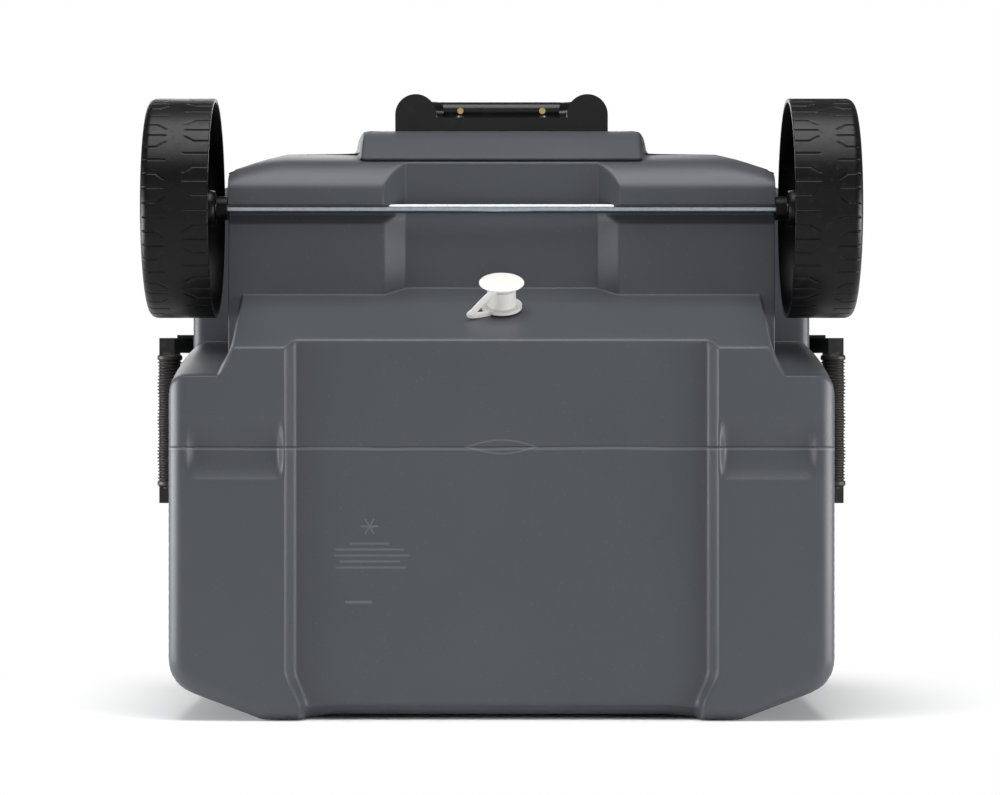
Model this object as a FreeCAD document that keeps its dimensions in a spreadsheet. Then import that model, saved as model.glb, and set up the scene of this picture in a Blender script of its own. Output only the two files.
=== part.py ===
import FreeCAD, Part

import math
import os
import re

import PartDesign
import Sketcher

# Wheeled cooler: a blow-moulded insulated box on two wide wheels, with a hinged lid,
# a swing handle on each side, a two-stage telescoping handle at the back and a drain.
# Frame: +Z up, X along the axle, -Y the front, +Y the back, origin under the middle.

DIMS = {
    # box
    "body_width": 544.0,
    "grip_behind_back": 71.3,        # flat part of the back to the back of the pulling grip
    "body_depth": 471.7,             # front face to the flat part of the back
    "body_height": 436.0,            # floor to the rim of the outer shell
    "shell_wall": 3.2,
    "front_facet_run": 77.0,
    "front_facet_drop": 29.0,
    "flat_back_half": 182.0,         # half the flat part of the back, which carries the hinges and the pull handle
    "rear_facet_drop": 34.5,
    "corner_radius": 35.0,
    "base_radius": 10.0,
    "front_recess_half": 135.0,
    "front_recess_flare": 35.0,
    "front_recess_depth": 3.0,
    "bulge_half_width": 122.0,
    "bulge_flare": 4.0,
    "bulge_rise": 20.1,
    # feet and underside
    "foot_height": 13.0,
    "foot_gap_half": 167.0,          # half the space between the feet, at the recessed panel
    "foot_slope_run": 11.0,
    "foot_valley_depth": 6.0,
    "foot_valley_half": 26.0,
    "foot_valley_from_front": 222.7,
    "step_from_front": 303.7,
    "drain_wall_run": 0.493,         # backward run of the slanted wall per unit of height
    "crease_before_axle": 13.3,
    "panel_above_axle": 0.5,
    "ledge_below_axle": 10.0,
    "ledge_length": 18.0,
    "channel_above_axle": 12.5,
    "channel_half_width": 90.0,
    "slope_run": 22.7,
    "slope_rise": 22.0,
    "rear_slope_run": 30.0,
    "rear_slope_rise": 38.0,
    # wheel wells
    "well_depth": 42.0,
    "well_front_gap": 34.3,
    "well_front_run": 0.125,
    "well_top_gap": 51.0,
    "well_corner": 31.0,
    # insulated lining
    "side_gap": 31.5,                # outside of the shell to outside of the lining
    "floor_gap": 25.0,
    "shelf_gap": 27.0,
    "liner_wall": 2.5,
    "liner_radius": 38.0,
    "flange": 3.0,
    # axle and wheels
    "axle_back": 49.9,
    "axle_radius": 4.0,
    "wheel_radius": 92.0,
    "wheel_width": 55.7,
    "wheel_gap": 9.3,
    "wheel_rim": 3.8,
    "hub_radius": 16.0,
    "web_wall": 3.5,
    "gusset_wall": 3.0,
    "gusset_count": 10,
    "cover_wall": 2.4,
    "running_clearance": 0.08,
    "side_play": 0.15,
    "cap_radius": 9.0,
    "cap_length": 6.5,
    "spacer_radius": 10.0,
    # drain
    "drain_height": 67.0,
    "drain_bore": 9.0,
    "drain_tube": 11.5,
    "drain_flange_radius": 17.0,
    "drain_flange": 2.6,
    "drain_neck_radius": 12.0,
    "drain_neck_length": 14.0,
    "drain_gasket": 1.5,
    "drain_nut_radius": 18.0,
    "drain_nut_height": 5.0,
    "drain_cap_radius": 18.8,
    "drain_cap_height": 17.0,
    "drain_cap_start": 8.6,
    "drain_cap_wall": 2.6,
    "tether_wall": 1.5,
    "tether_reach": 30.0,
    "tether_width": 9.0,
    # pulling handle
    "tube_half_spacing": 73.8,
    "tube_back": 34.6,               # tube axis behind the flat part of the back
    "tube_radius": 11.0,
    "tube_wall": 1.2,
    "lobe_radius": 17.6,
    "lower_bracket_base": 160.0,
    "lower_bracket_height": 30.0,
    "bracket_floor": 3.0,
    "bracket_below_top": 50.0,       # this and the next heights are from the body's top edge
    "upper_bracket_height": 22.0,
    "bracket_web": 12.0,
    "collar_height": 6.5,
    "stage_gap": 0.3,
    "tube_rest_gap": 3.0,
    "socket_height": 12.0,
    "socket_lip": 0.5,
    "yoke_radius": 9.0,
    "shoulder_below_top": 6.0,
    "grip_above_top": 29.0,
    "grip_half": 58.0,
    "sleeve_half": 50.0,
    "grip_core_radius": 7.0,
    "yoke_screw_half": 38.7,
    "button_half_length": 18.0,
    "button_half_width": 4.5,
    "button_proud": 3.5,
    "button_travel": 3.0,
    "spring_space": 6.0,
    "spring_wire": 0.3,
    "spring_radius": 2.6,
    # side handles
    "handle_centre_from_front": 242.5,
    "handle_pivot_out": 13.0,
    "pivot_below_top": 101.0,
    "handle_drop": 61.0,
    "handle_hang_angle": 10.4,
    "handle_half_length": 73.5,
    "handle_arm_spread": 0.4,
    "handle_arm_wall": 13.0,
    "handle_bar_half": 7.0,
    "handle_bar_tall": 20.0,
    "handle_grip_half": 11.0,
    "handle_grip_tall": 30.0,
    "handle_grip_length": 121.0,
    "handle_boss_radius": 9.0,
    "handle_pin_radius": 3.0,
    "mount_wall": 3.0,
    "mount_tall": 40.0,
    "ear_wall": 3.0,
    # lid
    "lid_gap": 1.0,
    "lid_height": 46.6,
    "lid_wall": 3.2,
    "lid_overhang": 3.0,
    "lid_radius": 12.0,
    "lid_liner_wall": 3.0,
    "lid_liner_lift": 2.0,
    "plug_clearance": 6.0,
    "plug_depth": 13.0,
    "gasket_width": 9.0,
    "gasket_gap": 0.3,
    # hinges
    "hinge_from_facet": 3.0,         # hinge leaf to the end of the flat part of the back
    "hinge_half_width": 20.0,
    "hinge_axis_back": 4.8,
    "knuckle_radius": 4.5,
    "knuckle_gap": 0.3,
    "knuckle_half": 6.5,
    "hinge_leaf": 2.4,
    "hinge_leaf_tall": 34.0,
    "hinge_pin_radius": 2.0,
    # fasteners
    "screw_radius": 2.0,
    "screw_head_radius": 4.2,
    "screw_head": 2.4,
}

doc = FreeCAD.newDocument("wheeled_cooler")
sheet = doc.addObject("Spreadsheet::Sheet", "dims")
for row, (alias, size) in enumerate(DIMS.items(), start=1):
    sheet.set("A%d" % row, alias)
    sheet.set("B%d" % row, str(size))
    sheet.setAlias("B%d" % row, alias)
doc.recompute()

# Places that several pieces share, each worked out from the sheet.
FRONT = "(0 - (body_depth + grip_behind_back) / 2)"
HALF = "(body_width / 2)"
BACK = "(%s + body_depth)" % FRONT
STEP = "(%s + step_from_front)" % FRONT
AXLE_Y = "(%s - axle_back)" % BACK
AXLE_Z = "(wheel_radius)"
PANEL_Z = "(%s + panel_above_axle)" % AXLE_Z
LEDGE_Z = "(%s - ledge_below_axle)" % AXLE_Z
CHANNEL_Z = "(%s + channel_above_axle)" % AXLE_Z
WELL_X = "(%s - well_depth)" % HALF
WELL_Y = "(%s - wheel_radius - well_front_gap)" % AXLE_Y
WELL_Z = "(2 * wheel_radius + well_top_gap)"
WHEEL_IN = "(%s + wheel_gap)" % WELL_X
WHEEL_OUT = "(%s + wheel_width)" % WHEEL_IN
BULGE_Y = "(%s + bulge_rise)" % BACK
TUBE_Y = "(%s + tube_back)" % BACK
RIM = "(body_height + flange)"
SIDES = ((-1, "left"), (1, "right"))


def link(text):
    """A sheet alias in an expression, written as dims.alias."""
    return re.sub(r"[A-Za-z_]\w*", lambda m: "dims." + m.group(0) if m.group(0) in DIMS else m.group(0), str(text))


def value(text):
    return float(sheet.evalExpression(str(text)))


def bind(item, prop, text):
    item.setExpression(prop, link(text))


def plane_of(body, role):
    return [feature for feature in body.Origin.OriginFeatures if feature.Role == role][0]


def sketch(body, name, plane, points, offset="0"):
    """A closed outline of straight lines on one of the body's own planes, every corner driven by the sheet."""
    item = body.newObject("Sketcher::SketchObject", name)
    item.AttachmentSupport = [(plane_of(body, plane + "_Plane"), "")]
    item.MapMode = "FlatFace"
    bind(item, ".AttachmentOffset.Base.z", offset)
    spots = [FreeCAD.Vector(value(across), value(up), 0) for across, up in points]
    for index, spot in enumerate(spots):
        item.addGeometry(Part.LineSegment(spot, spots[(index + 1) % len(spots)]), False)
    for index in range(len(spots)):
        item.addConstraint(Sketcher.Constraint("Coincident", index, 2, (index + 1) % len(spots), 1))
    for index, (across, up) in enumerate(points):
        for kind, text in (("DistanceX", across), ("DistanceY", up)):
            number = item.addConstraint(Sketcher.Constraint(kind, -1, 1, index, 1, value(text)))
            item.setExpression("Constraints[%d]" % number, link(text))
    return item


def pad(body, profile, length, both_ways=False, reversed_way=False):
    item = body.newObject("PartDesign::Pad", profile.Name + "_pad")
    item.Profile = profile
    item.Midplane = both_ways
    item.Reversed = reversed_way
    bind(item, "Length", length)
    return item


def pocket(body, profile, length, both_ways=False, reversed_way=False):
    item = body.newObject("PartDesign::Pocket", profile.Name + "_pocket")
    item.Profile = profile
    item.Midplane = both_ways
    item.Reversed = reversed_way
    bind(item, "Length", length)
    return item


def revolve(body, profile):
    item = body.newObject("PartDesign::Revolution", profile.Name + "_turn")
    item.Profile = profile
    item.ReferenceAxis = (profile, ["H_Axis"])
    item.Angle = 360
    return item


def round_edges(body, base, radius, wanted):
    """Fillet the edges of a feature that the test picks out."""
    doc.recompute()
    names = ["Edge%d" % n for n, edge in enumerate(base.Shape.Edges, start=1) if wanted(edge)]
    item = body.newObject("PartDesign::Fillet", base.Name + "_round")
    item.Base = (base, names)
    bind(item, "Radius", radius)
    return item


def upright(edge):
    a, b = edge.Vertexes[0].Point, edge.Vertexes[-1].Point
    return abs(a.x - b.x) < 1e-6 and abs(a.y - b.y) < 1e-6 and abs(a.z - b.z) > 1e-3


def prism(name, plane, points, low, high):
    """A straight block with the outline on the plane, from low to high across it."""
    body = doc.addObject("PartDesign::Body", name)
    offset = "0 - (%s)" % high if plane == "XZ" else low
    profile = sketch(body, name + "_outline", plane, points, offset)
    pad(body, profile, "(%s) - (%s)" % (high, low))
    return body


def box(name, x, y, z):
    item = doc.addObject("Part::Box", name)
    for size, letter, (low, high) in zip(("Length", "Width", "Height"), "xyz", (x, y, z)):
        bind(item, size, "(%s) - (%s)" % (high, low))
        bind(item, "Placement.Base." + letter, low)
    return item


def cylinder(name, axis, radius, centre, low, high):
    """A round bar along an axis; centre holds its other two coordinates, in order."""
    item = doc.addObject("Part::Cylinder", name)
    bind(item, "Radius", radius)
    bind(item, "Height", "(%s) - (%s)" % (high, low))
    turn = {"x": (FreeCAD.Vector(0, 1, 0), 90), "y": (FreeCAD.Vector(1, 0, 0), -90), "z": (FreeCAD.Vector(0, 0, 1), 0)}
    item.Placement = FreeCAD.Placement(FreeCAD.Vector(), FreeCAD.Rotation(*turn[axis]))
    others = [letter for letter in "xyz" if letter != axis]
    bind(item, "Placement.Base." + axis, low)
    for letter, text in zip(others, centre):
        bind(item, "Placement.Base." + letter, text)
    return item


def ball(name, radius, centre):
    item = doc.addObject("Part::Sphere", name)
    bind(item, "Radius", radius)
    for letter, text in zip("xyz", centre):
        bind(item, "Placement.Base." + letter, text)
    return item


def rod(name, radius, start, end):
    """A round bar between two points."""
    item = doc.addObject("Part::Cylinder", name)
    bind(item, "Radius", radius)
    reach = " + ".join("((%s) - (%s))^2" % (b, a) for a, b in zip(start, end))
    bind(item, "Height", "sqrt(%s)" % reach)
    a, b = (FreeCAD.Vector(*[value(text) for text in point]) for point in (start, end))
    item.Placement = FreeCAD.Placement(a, FreeCAD.Rotation(FreeCAD.Vector(0, 0, 1), b - a))
    return item


def fuse(name, *items):
    item = doc.addObject("Part::MultiFuse", name)
    item.Shapes = list(items)
    return item


def group(name, *items):
    """Separate solids that share one node."""
    item = doc.addObject("Part::Compound", name)
    item.Links = list(items)
    return item


def cut(name, base, *tools):
    item = doc.addObject("Part::Cut", name)
    item.Base = base
    item.Tool = tools[0] if len(tools) == 1 else fuse(name + "_tools", *tools)
    return item


def common(name, base, tool):
    item = doc.addObject("Part::Common", name)
    item.Base = base
    item.Tool = tool
    return item


def mirror_points(half):
    """The outline of a shape that is the same on both sides, from its right half."""
    return list(half) + [("0 - (%s)" % x, y) for x, y in reversed(half)]


def span(side, near, far):
    """Low and high X of something on one side, given its distances from the middle."""
    return (near, far) if side > 0 else ("0 - (%s)" % far, "0 - (%s)" % near)


def signed(side, text):
    return text if side > 0 else "0 - (%s)" % text


# ------------------------------------------------------------------ outer box

def box_outline(inset, bulge):
    """Plan of the box: faceted corners and, on the body, the raised middle of the back."""
    right = [
        ("%s - front_facet_run - %s" % (HALF, inset), "%s + %s" % (FRONT, inset)),
        ("%s - %s" % (HALF, inset), "%s + front_facet_drop + %s" % (FRONT, inset)),
        ("%s - %s" % (HALF, inset), "%s - rear_facet_drop - %s" % (BACK, inset)),
        ("flat_back_half - %s" % inset, "%s - %s" % (BACK, inset)),
    ]
    if bulge:
        right.append(("bulge_half_width + bulge_flare - %s" % inset, "%s - %s" % (BACK, inset)))
        right.append(("bulge_half_width - %s" % inset, "%s - %s" % (BULGE_Y, inset)))
    return mirror_points(right)


def at_side(inset):
    limit = value("%s - %s" % (HALF, inset)) - 1e-3
    return lambda edge: upright(edge) and abs(edge.Vertexes[0].X) > limit


def hull(name, inset, radius, base_radius):
    """The box's outside, or with an inset the space inside its wall."""
    body = doc.addObject("PartDesign::Body", name)
    plan = sketch(body, name + "_plan", "XY", box_outline(inset, True), inset)
    tall = pad(body, plan, "body_height - %s" % inset)
    tall = round_edges(body, tall, radius, at_side(inset))
    floor = value(inset)
    ahead = value(STEP)

    def base_edge(edge):
        ends = [v.Point for v in edge.Vertexes]
        low = all(abs(p.z - floor) < 1e-6 for p in ends)
        return low and all(p.y < ahead + value("body_depth") for p in ends) and all(
            abs(p.x) > value("bulge_half_width + bulge_flare") or p.y < 0 for p in ends)

    round_edges(body, tall, base_radius, base_edge)

    lip = [("%s + axle_radius + 1 + %s" % (AXLE_Y, inset), "%s + %s" % (LEDGE_Z, inset))]
    if value(inset) == 0:
        # The ledge reaches forward under the rod only on the outside; it is solid, with no room in it.
        lip = [
            ("%s + axle_radius + 1" % AXLE_Y, "%s - axle_radius - 0.4" % AXLE_Z),
            ("%s + axle_radius / 2" % AXLE_Y, "%s - axle_radius - 0.4" % AXLE_Z),
            ("%s + axle_radius / 2" % AXLE_Y, LEDGE_Z),
        ]
    under = [
        ("%s - drain_wall_run * 20 - %s" % (STEP, inset), "0 - 20"),
        ("%s + drain_wall_run * %s - %s" % (STEP, PANEL_Z, inset), "%s + %s" % (PANEL_Z, inset)),
        ("%s - crease_before_axle - %s" % (AXLE_Y, inset), "%s + %s" % (PANEL_Z, inset)),
        ("%s - axle_radius - 1 - %s" % (AXLE_Y, inset), "%s + axle_radius + %s" % (AXLE_Z, inset)),
        ("%s + axle_radius + 1 + %s" % (AXLE_Y, inset), "%s + axle_radius + %s" % (AXLE_Z, inset)),
        *lip,
        ("%s + axle_radius / 2 + ledge_length - %s" % (AXLE_Y, inset), "%s + %s" % (LEDGE_Z, inset)),
        ("%s + axle_radius / 2 + ledge_length + slope_run - %s" % (AXLE_Y, inset),
         "%s + slope_rise + %s" % (LEDGE_Z, inset)),
        ("%s + axle_radius / 2 + ledge_length + slope_run + rear_slope_run - %s" % (AXLE_Y, inset),
         "%s + slope_rise + rear_slope_rise + %s" % (LEDGE_Z, inset)),
        ("%s + 40" % BULGE_Y, "%s + slope_rise + rear_slope_rise + %s" % (LEDGE_Z, inset)),
        ("%s + 40" % BULGE_Y, "0 - 20"),
    ]
    pocket(body, sketch(body, name + "_under", "YZ", under), "body_width + 40", both_ways=True)

    well = [
        ("%s - well_front_run * (%s + 20) - %s" % (WELL_Y, AXLE_Z, inset), "0 - 20"),
        ("%s + well_front_run * (%s - %s - 1.4 * well_corner) - %s" % (WELL_Y, WELL_Z, AXLE_Z, inset),
         "%s - 1.4 * well_corner + %s" % (WELL_Z, inset)),
        ("%s + well_corner * 0.8 - %s" % (WELL_Y, inset), "%s - 0.4 * well_corner + %s" % (WELL_Z, inset)),
        ("%s + well_corner * 1.8 - %s" % (WELL_Y, inset), "%s + %s" % (WELL_Z, inset)),
        ("%s + 40" % BULGE_Y, "%s + %s" % (WELL_Z, inset)),
        ("%s + 40" % BULGE_Y, "0 - 20"),
    ]
    for side, word in SIDES:
        where = signed(side, "%s - %s" % (WELL_X, inset))
        profile = sketch(body, "%s_%s_well" % (name, word), "YZ", well, where)
        pocket(body, profile, "well_depth + 60", reversed_way=side > 0)

    gap = mirror_points([
        ("foot_gap_half + foot_slope_run + foot_slope_run / foot_height * 5 + %s" % inset, "0 - 5 + %s" % inset),
        ("foot_gap_half + %s" % inset, "foot_height + %s" % inset),
    ])
    pocket(body, sketch(body, name + "_gap", "XZ", gap), "2 * body_depth", both_ways=True)

    channel = [
        ("%s + drain_wall_run * (%s - 30) - %s" % (STEP, CHANNEL_Z, inset), "%s - 30 + %s" % (CHANNEL_Z, inset)),
        ("%s + drain_wall_run * %s - %s" % (STEP, CHANNEL_Z, inset), "%s + %s" % (CHANNEL_Z, inset)),
        ("%s + 40" % BULGE_Y, "%s + %s" % (CHANNEL_Z, inset)),
        ("%s + 40" % BULGE_Y, "%s - 30 + %s" % (CHANNEL_Z, inset)),
    ]
    profile = sketch(body, name + "_channel", "YZ", channel)
    pocket(body, profile, "2 * (channel_half_width + %s)" % inset, both_ways=True)

    recess = mirror_points([
        ("front_recess_half + front_recess_flare + %s" % inset, "%s - 1" % FRONT),
        ("front_recess_half + front_recess_flare + %s" % inset, "%s + %s" % (FRONT, inset)),
        ("front_recess_half + %s" % inset, "%s + front_recess_depth + %s" % (FRONT, inset)),
    ])
    recess = recess[1:-1] + [("0 - (front_recess_half + front_recess_flare + %s)" % inset, "%s - 5" % FRONT),
                             ("front_recess_half + front_recess_flare + %s" % inset, "%s - 5" % FRONT)]
    pocket(body, sketch(body, name + "_recess", "XY", recess), "body_height + 20", reversed_way=True)
    return body


hull_outside = hull("hull_outside", "0", "corner_radius", "base_radius")
hull_inside = hull("hull_inside", "shell_wall", "corner_radius - shell_wall", "base_radius - shell_wall")

valleys = []
for side, word in SIDES:
    valley = [
        ("%s + foot_valley_from_front - foot_valley_half" % FRONT, "0 - 1"),
        ("%s + foot_valley_from_front - foot_valley_half" % FRONT, "0"),
        ("%s + foot_valley_from_front - foot_valley_half / 3" % FRONT, "foot_valley_depth * 0.4"),
        ("%s + foot_valley_from_front + foot_valley_half / 3" % FRONT, "foot_valley_depth * 0.4"),
        ("%s + foot_valley_from_front + foot_valley_half" % FRONT, "0"),
        ("%s + foot_valley_from_front + foot_valley_half" % FRONT, "0 - 1"),
    ]
    low, high = span(side, "foot_gap_half - 5", "%s - corner_radius" % HALF)
    valleys.append(prism("%s_foot_valley" % word, "YZ", valley, low, high))

# ------------------------------------------------------------------ lining

def tub(name, inset, top):
    """The lining's outside, or with an inset the room inside it: deep in front, a shelf over the axle."""
    slant = "(side_gap - 1.4) * sqrt(1 + drain_wall_run^2)"
    shelf = "(%s + shelf_gap)" % CHANNEL_Z
    floor = "(foot_height + floor_gap)"
    side = "(%s - side_gap - %s)" % (HALF, inset)
    front = "(%s + side_gap + %s)" % (FRONT, inset)
    back = "(%s - side_gap - %s)" % (BACK, inset)
    well_front = "(%s - well_front_run * %s - shelf_gap + 2.5 - %s)" % (WELL_Y, AXLE_Z, inset)

    def tray(label, y_low, y_high, z_low):
        body = doc.addObject("PartDesign::Body", label)
        plan = [(side, y_low), (side, y_high), ("0 - %s" % side, y_high), ("0 - %s" % side, y_low)]
        block = pad(body, sketch(body, label + "_plan", "XY", plan, z_low), "%s - (%s)" % (top, z_low))
        round_edges(body, block, "liner_radius - %s" % inset, upright)
        return body

    wide = tray(name + "_wide", front, back, "%s + shelf_gap + %s" % (WELL_Z, inset))
    deep = tray(name + "_deep", front, well_front, "%s + %s" % (floor, inset))
    middle = prism(name + "_middle", "YZ", [
        ("%s - 60" % well_front, "%s + %s" % (floor, inset)),
        ("%s + drain_wall_run * %s - %s - %s" % (STEP, floor, slant, inset), "%s + %s" % (floor, inset)),
        ("%s + drain_wall_run * %s - %s - %s" % (STEP, shelf, slant, inset), "%s + %s" % (shelf, inset)),
        (back, "%s + %s" % (shelf, inset)),
        (back, top),
        ("%s - 60" % well_front, top),
    ], "0 - (%s - shelf_gap - %s)" % (WELL_X, inset), "%s - shelf_gap - %s" % (WELL_X, inset))
    return fuse(name, wide, deep, middle)


tub_outside = tub("tub_outside", "0", "body_height")
tub_inside = tub("tub_inside", "liner_wall", RIM)
flange_plate = prism("flange_plate", "XY", box_outline("1", True), "body_height", RIM)

# ------------------------------------------------------------------ drain, along its own slanted axis

slant_angle = math.degrees(math.atan(value("drain_wall_run")))
DRAIN_Y = "(%s + drain_wall_run * drain_height)" % STEP
drain_turn = FreeCAD.Rotation(FreeCAD.Vector(1, 0, 0), -90 - slant_angle)
drain_place = FreeCAD.Placement(FreeCAD.Vector(0, value(DRAIN_Y), value("drain_height")), drain_turn)
THROUGH = "(side_gap - 1.4 + liner_wall * (1 + drain_wall_run) / sqrt(1 + drain_wall_run^2))"


def ring(name, inner, outer, low, high):
    """A round ring on the drain's axis, its distances counted outward from the slanted wall."""
    body = doc.addObject("PartDesign::Body", name)
    profile = sketch(body, name + "_half", "XZ", [(inner, low), (outer, low), (outer, high), (inner, high)])
    item = body.newObject("PartDesign::Revolution", name + "_turn")
    item.Profile = profile
    item.ReferenceAxis = (profile, ["V_Axis"])
    item.Angle = 360
    body.Placement = drain_place
    return body


def plug(name, radius, low, high):
    item = doc.addObject("Part::Cylinder", name)
    bind(item, "Radius", radius)
    bind(item, "Height", "(%s) - (%s)" % (high, low))
    shift = drain_turn.multVec(FreeCAD.Vector(0, 0, value(low)))
    item.Placement = FreeCAD.Placement(drain_place.Base + shift, drain_turn)
    return item


drain_hole = plug("drain_hole", "drain_tube", "0 - %s - 10" % THROUGH, "10")
GASKET_TOP = "(drain_gasket)"
FLANGE_TOP = "(drain_gasket + drain_flange)"
drain_gasket = ring("drain_gasket", "drain_tube", "drain_flange_radius - 1", "0", GASKET_TOP)
drain_body = doc.addObject("PartDesign::Body", "drain_spout")
drain_profile = sketch(drain_body, "drain_half", "XZ", [
    ("drain_bore", "0 - %s - drain_nut_height - 1" % THROUGH),
    ("drain_tube", "0 - %s - drain_nut_height - 1" % THROUGH),
    ("drain_tube", GASKET_TOP),
    ("drain_flange_radius", GASKET_TOP),
    ("drain_flange_radius", FLANGE_TOP),
    ("drain_neck_radius", FLANGE_TOP),
    ("drain_neck_radius", "%s + drain_neck_length" % FLANGE_TOP),
    ("drain_bore", "%s + drain_neck_length" % FLANGE_TOP),
])
drain_revolve = drain_body.newObject("PartDesign::Revolution", "drain_turn")
drain_revolve.Profile = drain_profile
drain_revolve.ReferenceAxis = (drain_profile, ["V_Axis"])
drain_revolve.Angle = 360
drain_body.Placement = drain_place
drain_nut = ring("drain_nut", "drain_tube", "drain_nut_radius", "0 - %s - drain_nut_height" % THROUGH,
                 "0 - %s" % THROUGH)
CAP_TOP = "(drain_cap_start + drain_cap_height)"
cap_body = doc.addObject("PartDesign::Body", "drain_cap")
cap_profile = sketch(cap_body, "cap_half", "XZ", [
    ("drain_neck_radius + running_clearance", "drain_cap_start"),
    ("drain_cap_radius - 1", "drain_cap_start"),
    ("drain_cap_radius", "drain_cap_start + 1"),
    ("drain_cap_radius", "%s - 1.5" % CAP_TOP),
    ("drain_cap_radius - 1.5", CAP_TOP),
    ("0", CAP_TOP),
    ("0", "%s - drain_cap_wall" % CAP_TOP),
    ("drain_neck_radius + running_clearance", "%s - drain_cap_wall" % CAP_TOP),
])
cap_revolve = cap_body.newObject("PartDesign::Revolution", "cap_turn")
cap_revolve.Profile = cap_profile
cap_revolve.ReferenceAxis = (cap_profile, ["V_Axis"])
cap_revolve.Angle = 360
cap_body.Placement = drain_place
tether_ring = ring("tether_ring", "drain_neck_radius", "drain_neck_radius + 3.5", FLANGE_TOP,
                   "%s + tether_wall" % FLANGE_TOP)
tether_strap = doc.addObject("Part::Box", "tether_strap")
bind(tether_strap, "Length", "tether_reach - drain_neck_radius - 1.5")
bind(tether_strap, "Width", "tether_width")
bind(tether_strap, "Height", "tether_wall")
strap_start = FreeCAD.Vector(value("drain_neck_radius + 1.5"), -value("tether_width / 2"), value(FLANGE_TOP))
tether_strap.Placement = drain_place.multiply(FreeCAD.Placement(strap_start, FreeCAD.Rotation()))
tether_post = doc.addObject("Part::Box", "tether_post")
bind(tether_post, "Length", "tether_wall")
bind(tether_post, "Width", "tether_width")
bind(tether_post, "Height", "%s - %s - 3" % (CAP_TOP, FLANGE_TOP))
post_start = FreeCAD.Vector(value("tether_reach - tether_wall"), -value("tether_width / 2"), value(FLANGE_TOP))
tether_post.Placement = drain_place.multiply(FreeCAD.Placement(post_start, FreeCAD.Rotation()))
drain_tether = fuse("drain_tether", tether_ring, tether_strap, tether_post)

# ------------------------------------------------------------------ axle and wheels

AXLE_END = "(%s + side_play + 1.5)" % WHEEL_OUT
axle_rod = cylinder("axle_rod", "x", "axle_radius", (AXLE_Y, AXLE_Z), "0 - %s" % AXLE_END, AXLE_END)
push_nuts = []
spacers = []
for side, word in SIDES:
    where = (AXLE_Y, AXLE_Z)
    low, high = span(side, "%s + side_play" % WHEEL_OUT, "%s + side_play + cap_length" % WHEEL_OUT)
    dome = cylinder(word + "_nut_dome", "x", "cap_radius", where, low, high)
    push_nuts.append(cut(word + "_push_nut", dome, axle_rod))
    low, high = span(side, WELL_X, "%s - side_play" % WHEEL_IN)
    sleeve = cylinder(word + "_sleeve", "x", "spacer_radius", where, low, high)
    spacers.append(cut(word + "_spacer", sleeve, axle_rod))
axle_push_nuts = group("axle_push_nuts", *push_nuts)
axle_spacers = group("axle_spacers", *spacers)


def wheel(name, side):
    """Turned profile of the open-backed moulded wheel: rim, dished web and hub, with gussets behind the web."""
    def at(from_inner, radius):
        return (signed(side, "%s + (%s)" % (WHEEL_IN, from_inner)), radius)

    bore = "axle_radius + running_clearance"
    rim = "wheel_radius - wheel_rim"
    profile_points = [
        at("0", bore),
        at("0", "hub_radius"),
        at("wheel_width - 11 - web_wall", "hub_radius + 2"),
        at("wheel_width - 9.5 - web_wall", "wheel_radius - 30"),
        at("wheel_width - 5 - web_wall", "wheel_radius - 13"),
        at("wheel_width - 9 - web_wall", "%s - 0.5" % rim),
        at("0", rim),
        at("0", "wheel_radius - 1.4"),
        at("1.5", "wheel_radius"),
        at("wheel_width - 15", "wheel_radius"),
        at("wheel_width - 7.5", "wheel_radius - 1.4"),
        at("wheel_width - 2.5", "wheel_radius - 5.5"),
        at("wheel_width - 0.6", "wheel_radius - 11"),
        at("wheel_width - 0.6", "wheel_radius - 19"),
        at("wheel_width - 3.6", "wheel_radius - 24"),
        at("wheel_width - 6", "wheel_radius - 32"),
        at("wheel_width - 7.5", "hub_radius + 7"),
        at("wheel_width", "hub_radius + 1"),
        at("wheel_width", bore),
    ]
    body = doc.addObject("PartDesign::Body", name)
    profile = sketch(body, name + "_profile", "XY", profile_points)
    revolve(body, profile)
    gusset_points = [
        at("6", "hub_radius - 2"),
        at("wheel_width - 10.2 - web_wall", "hub_radius - 2"),
        at("wheel_width - 9 - web_wall", "wheel_radius - 30"),
        at("wheel_width - 9 - web_wall", "wheel_radius - 2.5"),
        at("wheel_width - 26", "wheel_radius - 2.5"),
    ]
    gusset_sketch = sketch(body, name + "_gusset", "XY", gusset_points)
    gusset = pad(body, gusset_sketch, "gusset_wall", both_ways=True)
    pattern = body.newObject("PartDesign::PolarPattern", name + "_gussets")
    pattern.Originals = [gusset]
    pattern.Axis = (gusset_sketch, ["H_Axis"])
    pattern.Angle = 360
    bind(pattern, "Occurrences", "gusset_count")
    body.Tip = pattern
    bind(body, "Placement.Base.y", AXLE_Y)
    bind(body, "Placement.Base.z", AXLE_Z)
    return body


wheels = [wheel(word + "_wheel", side) for side, word in SIDES]
covers = []
for side, word in SIDES:
    low, high = span(side, "%s - 7.4" % WHEEL_OUT, "%s - 7.4 + cover_wall" % WHEEL_OUT)
    disc = cylinder(word + "_cover_disc", "x", "wheel_radius - 33", (AXLE_Y, AXLE_Z), low, high)
    eye = cylinder(word + "_cover_eye", "x", "hub_radius + 7.5", (AXLE_Y, AXLE_Z), low, high)
    raw = cut(word + "_cover_raw", disc, eye)
    covers.append(cut(word + "_wheel_cover", raw, wheels[0 if side < 0 else 1]))

# ------------------------------------------------------------------ pulling handle

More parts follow.
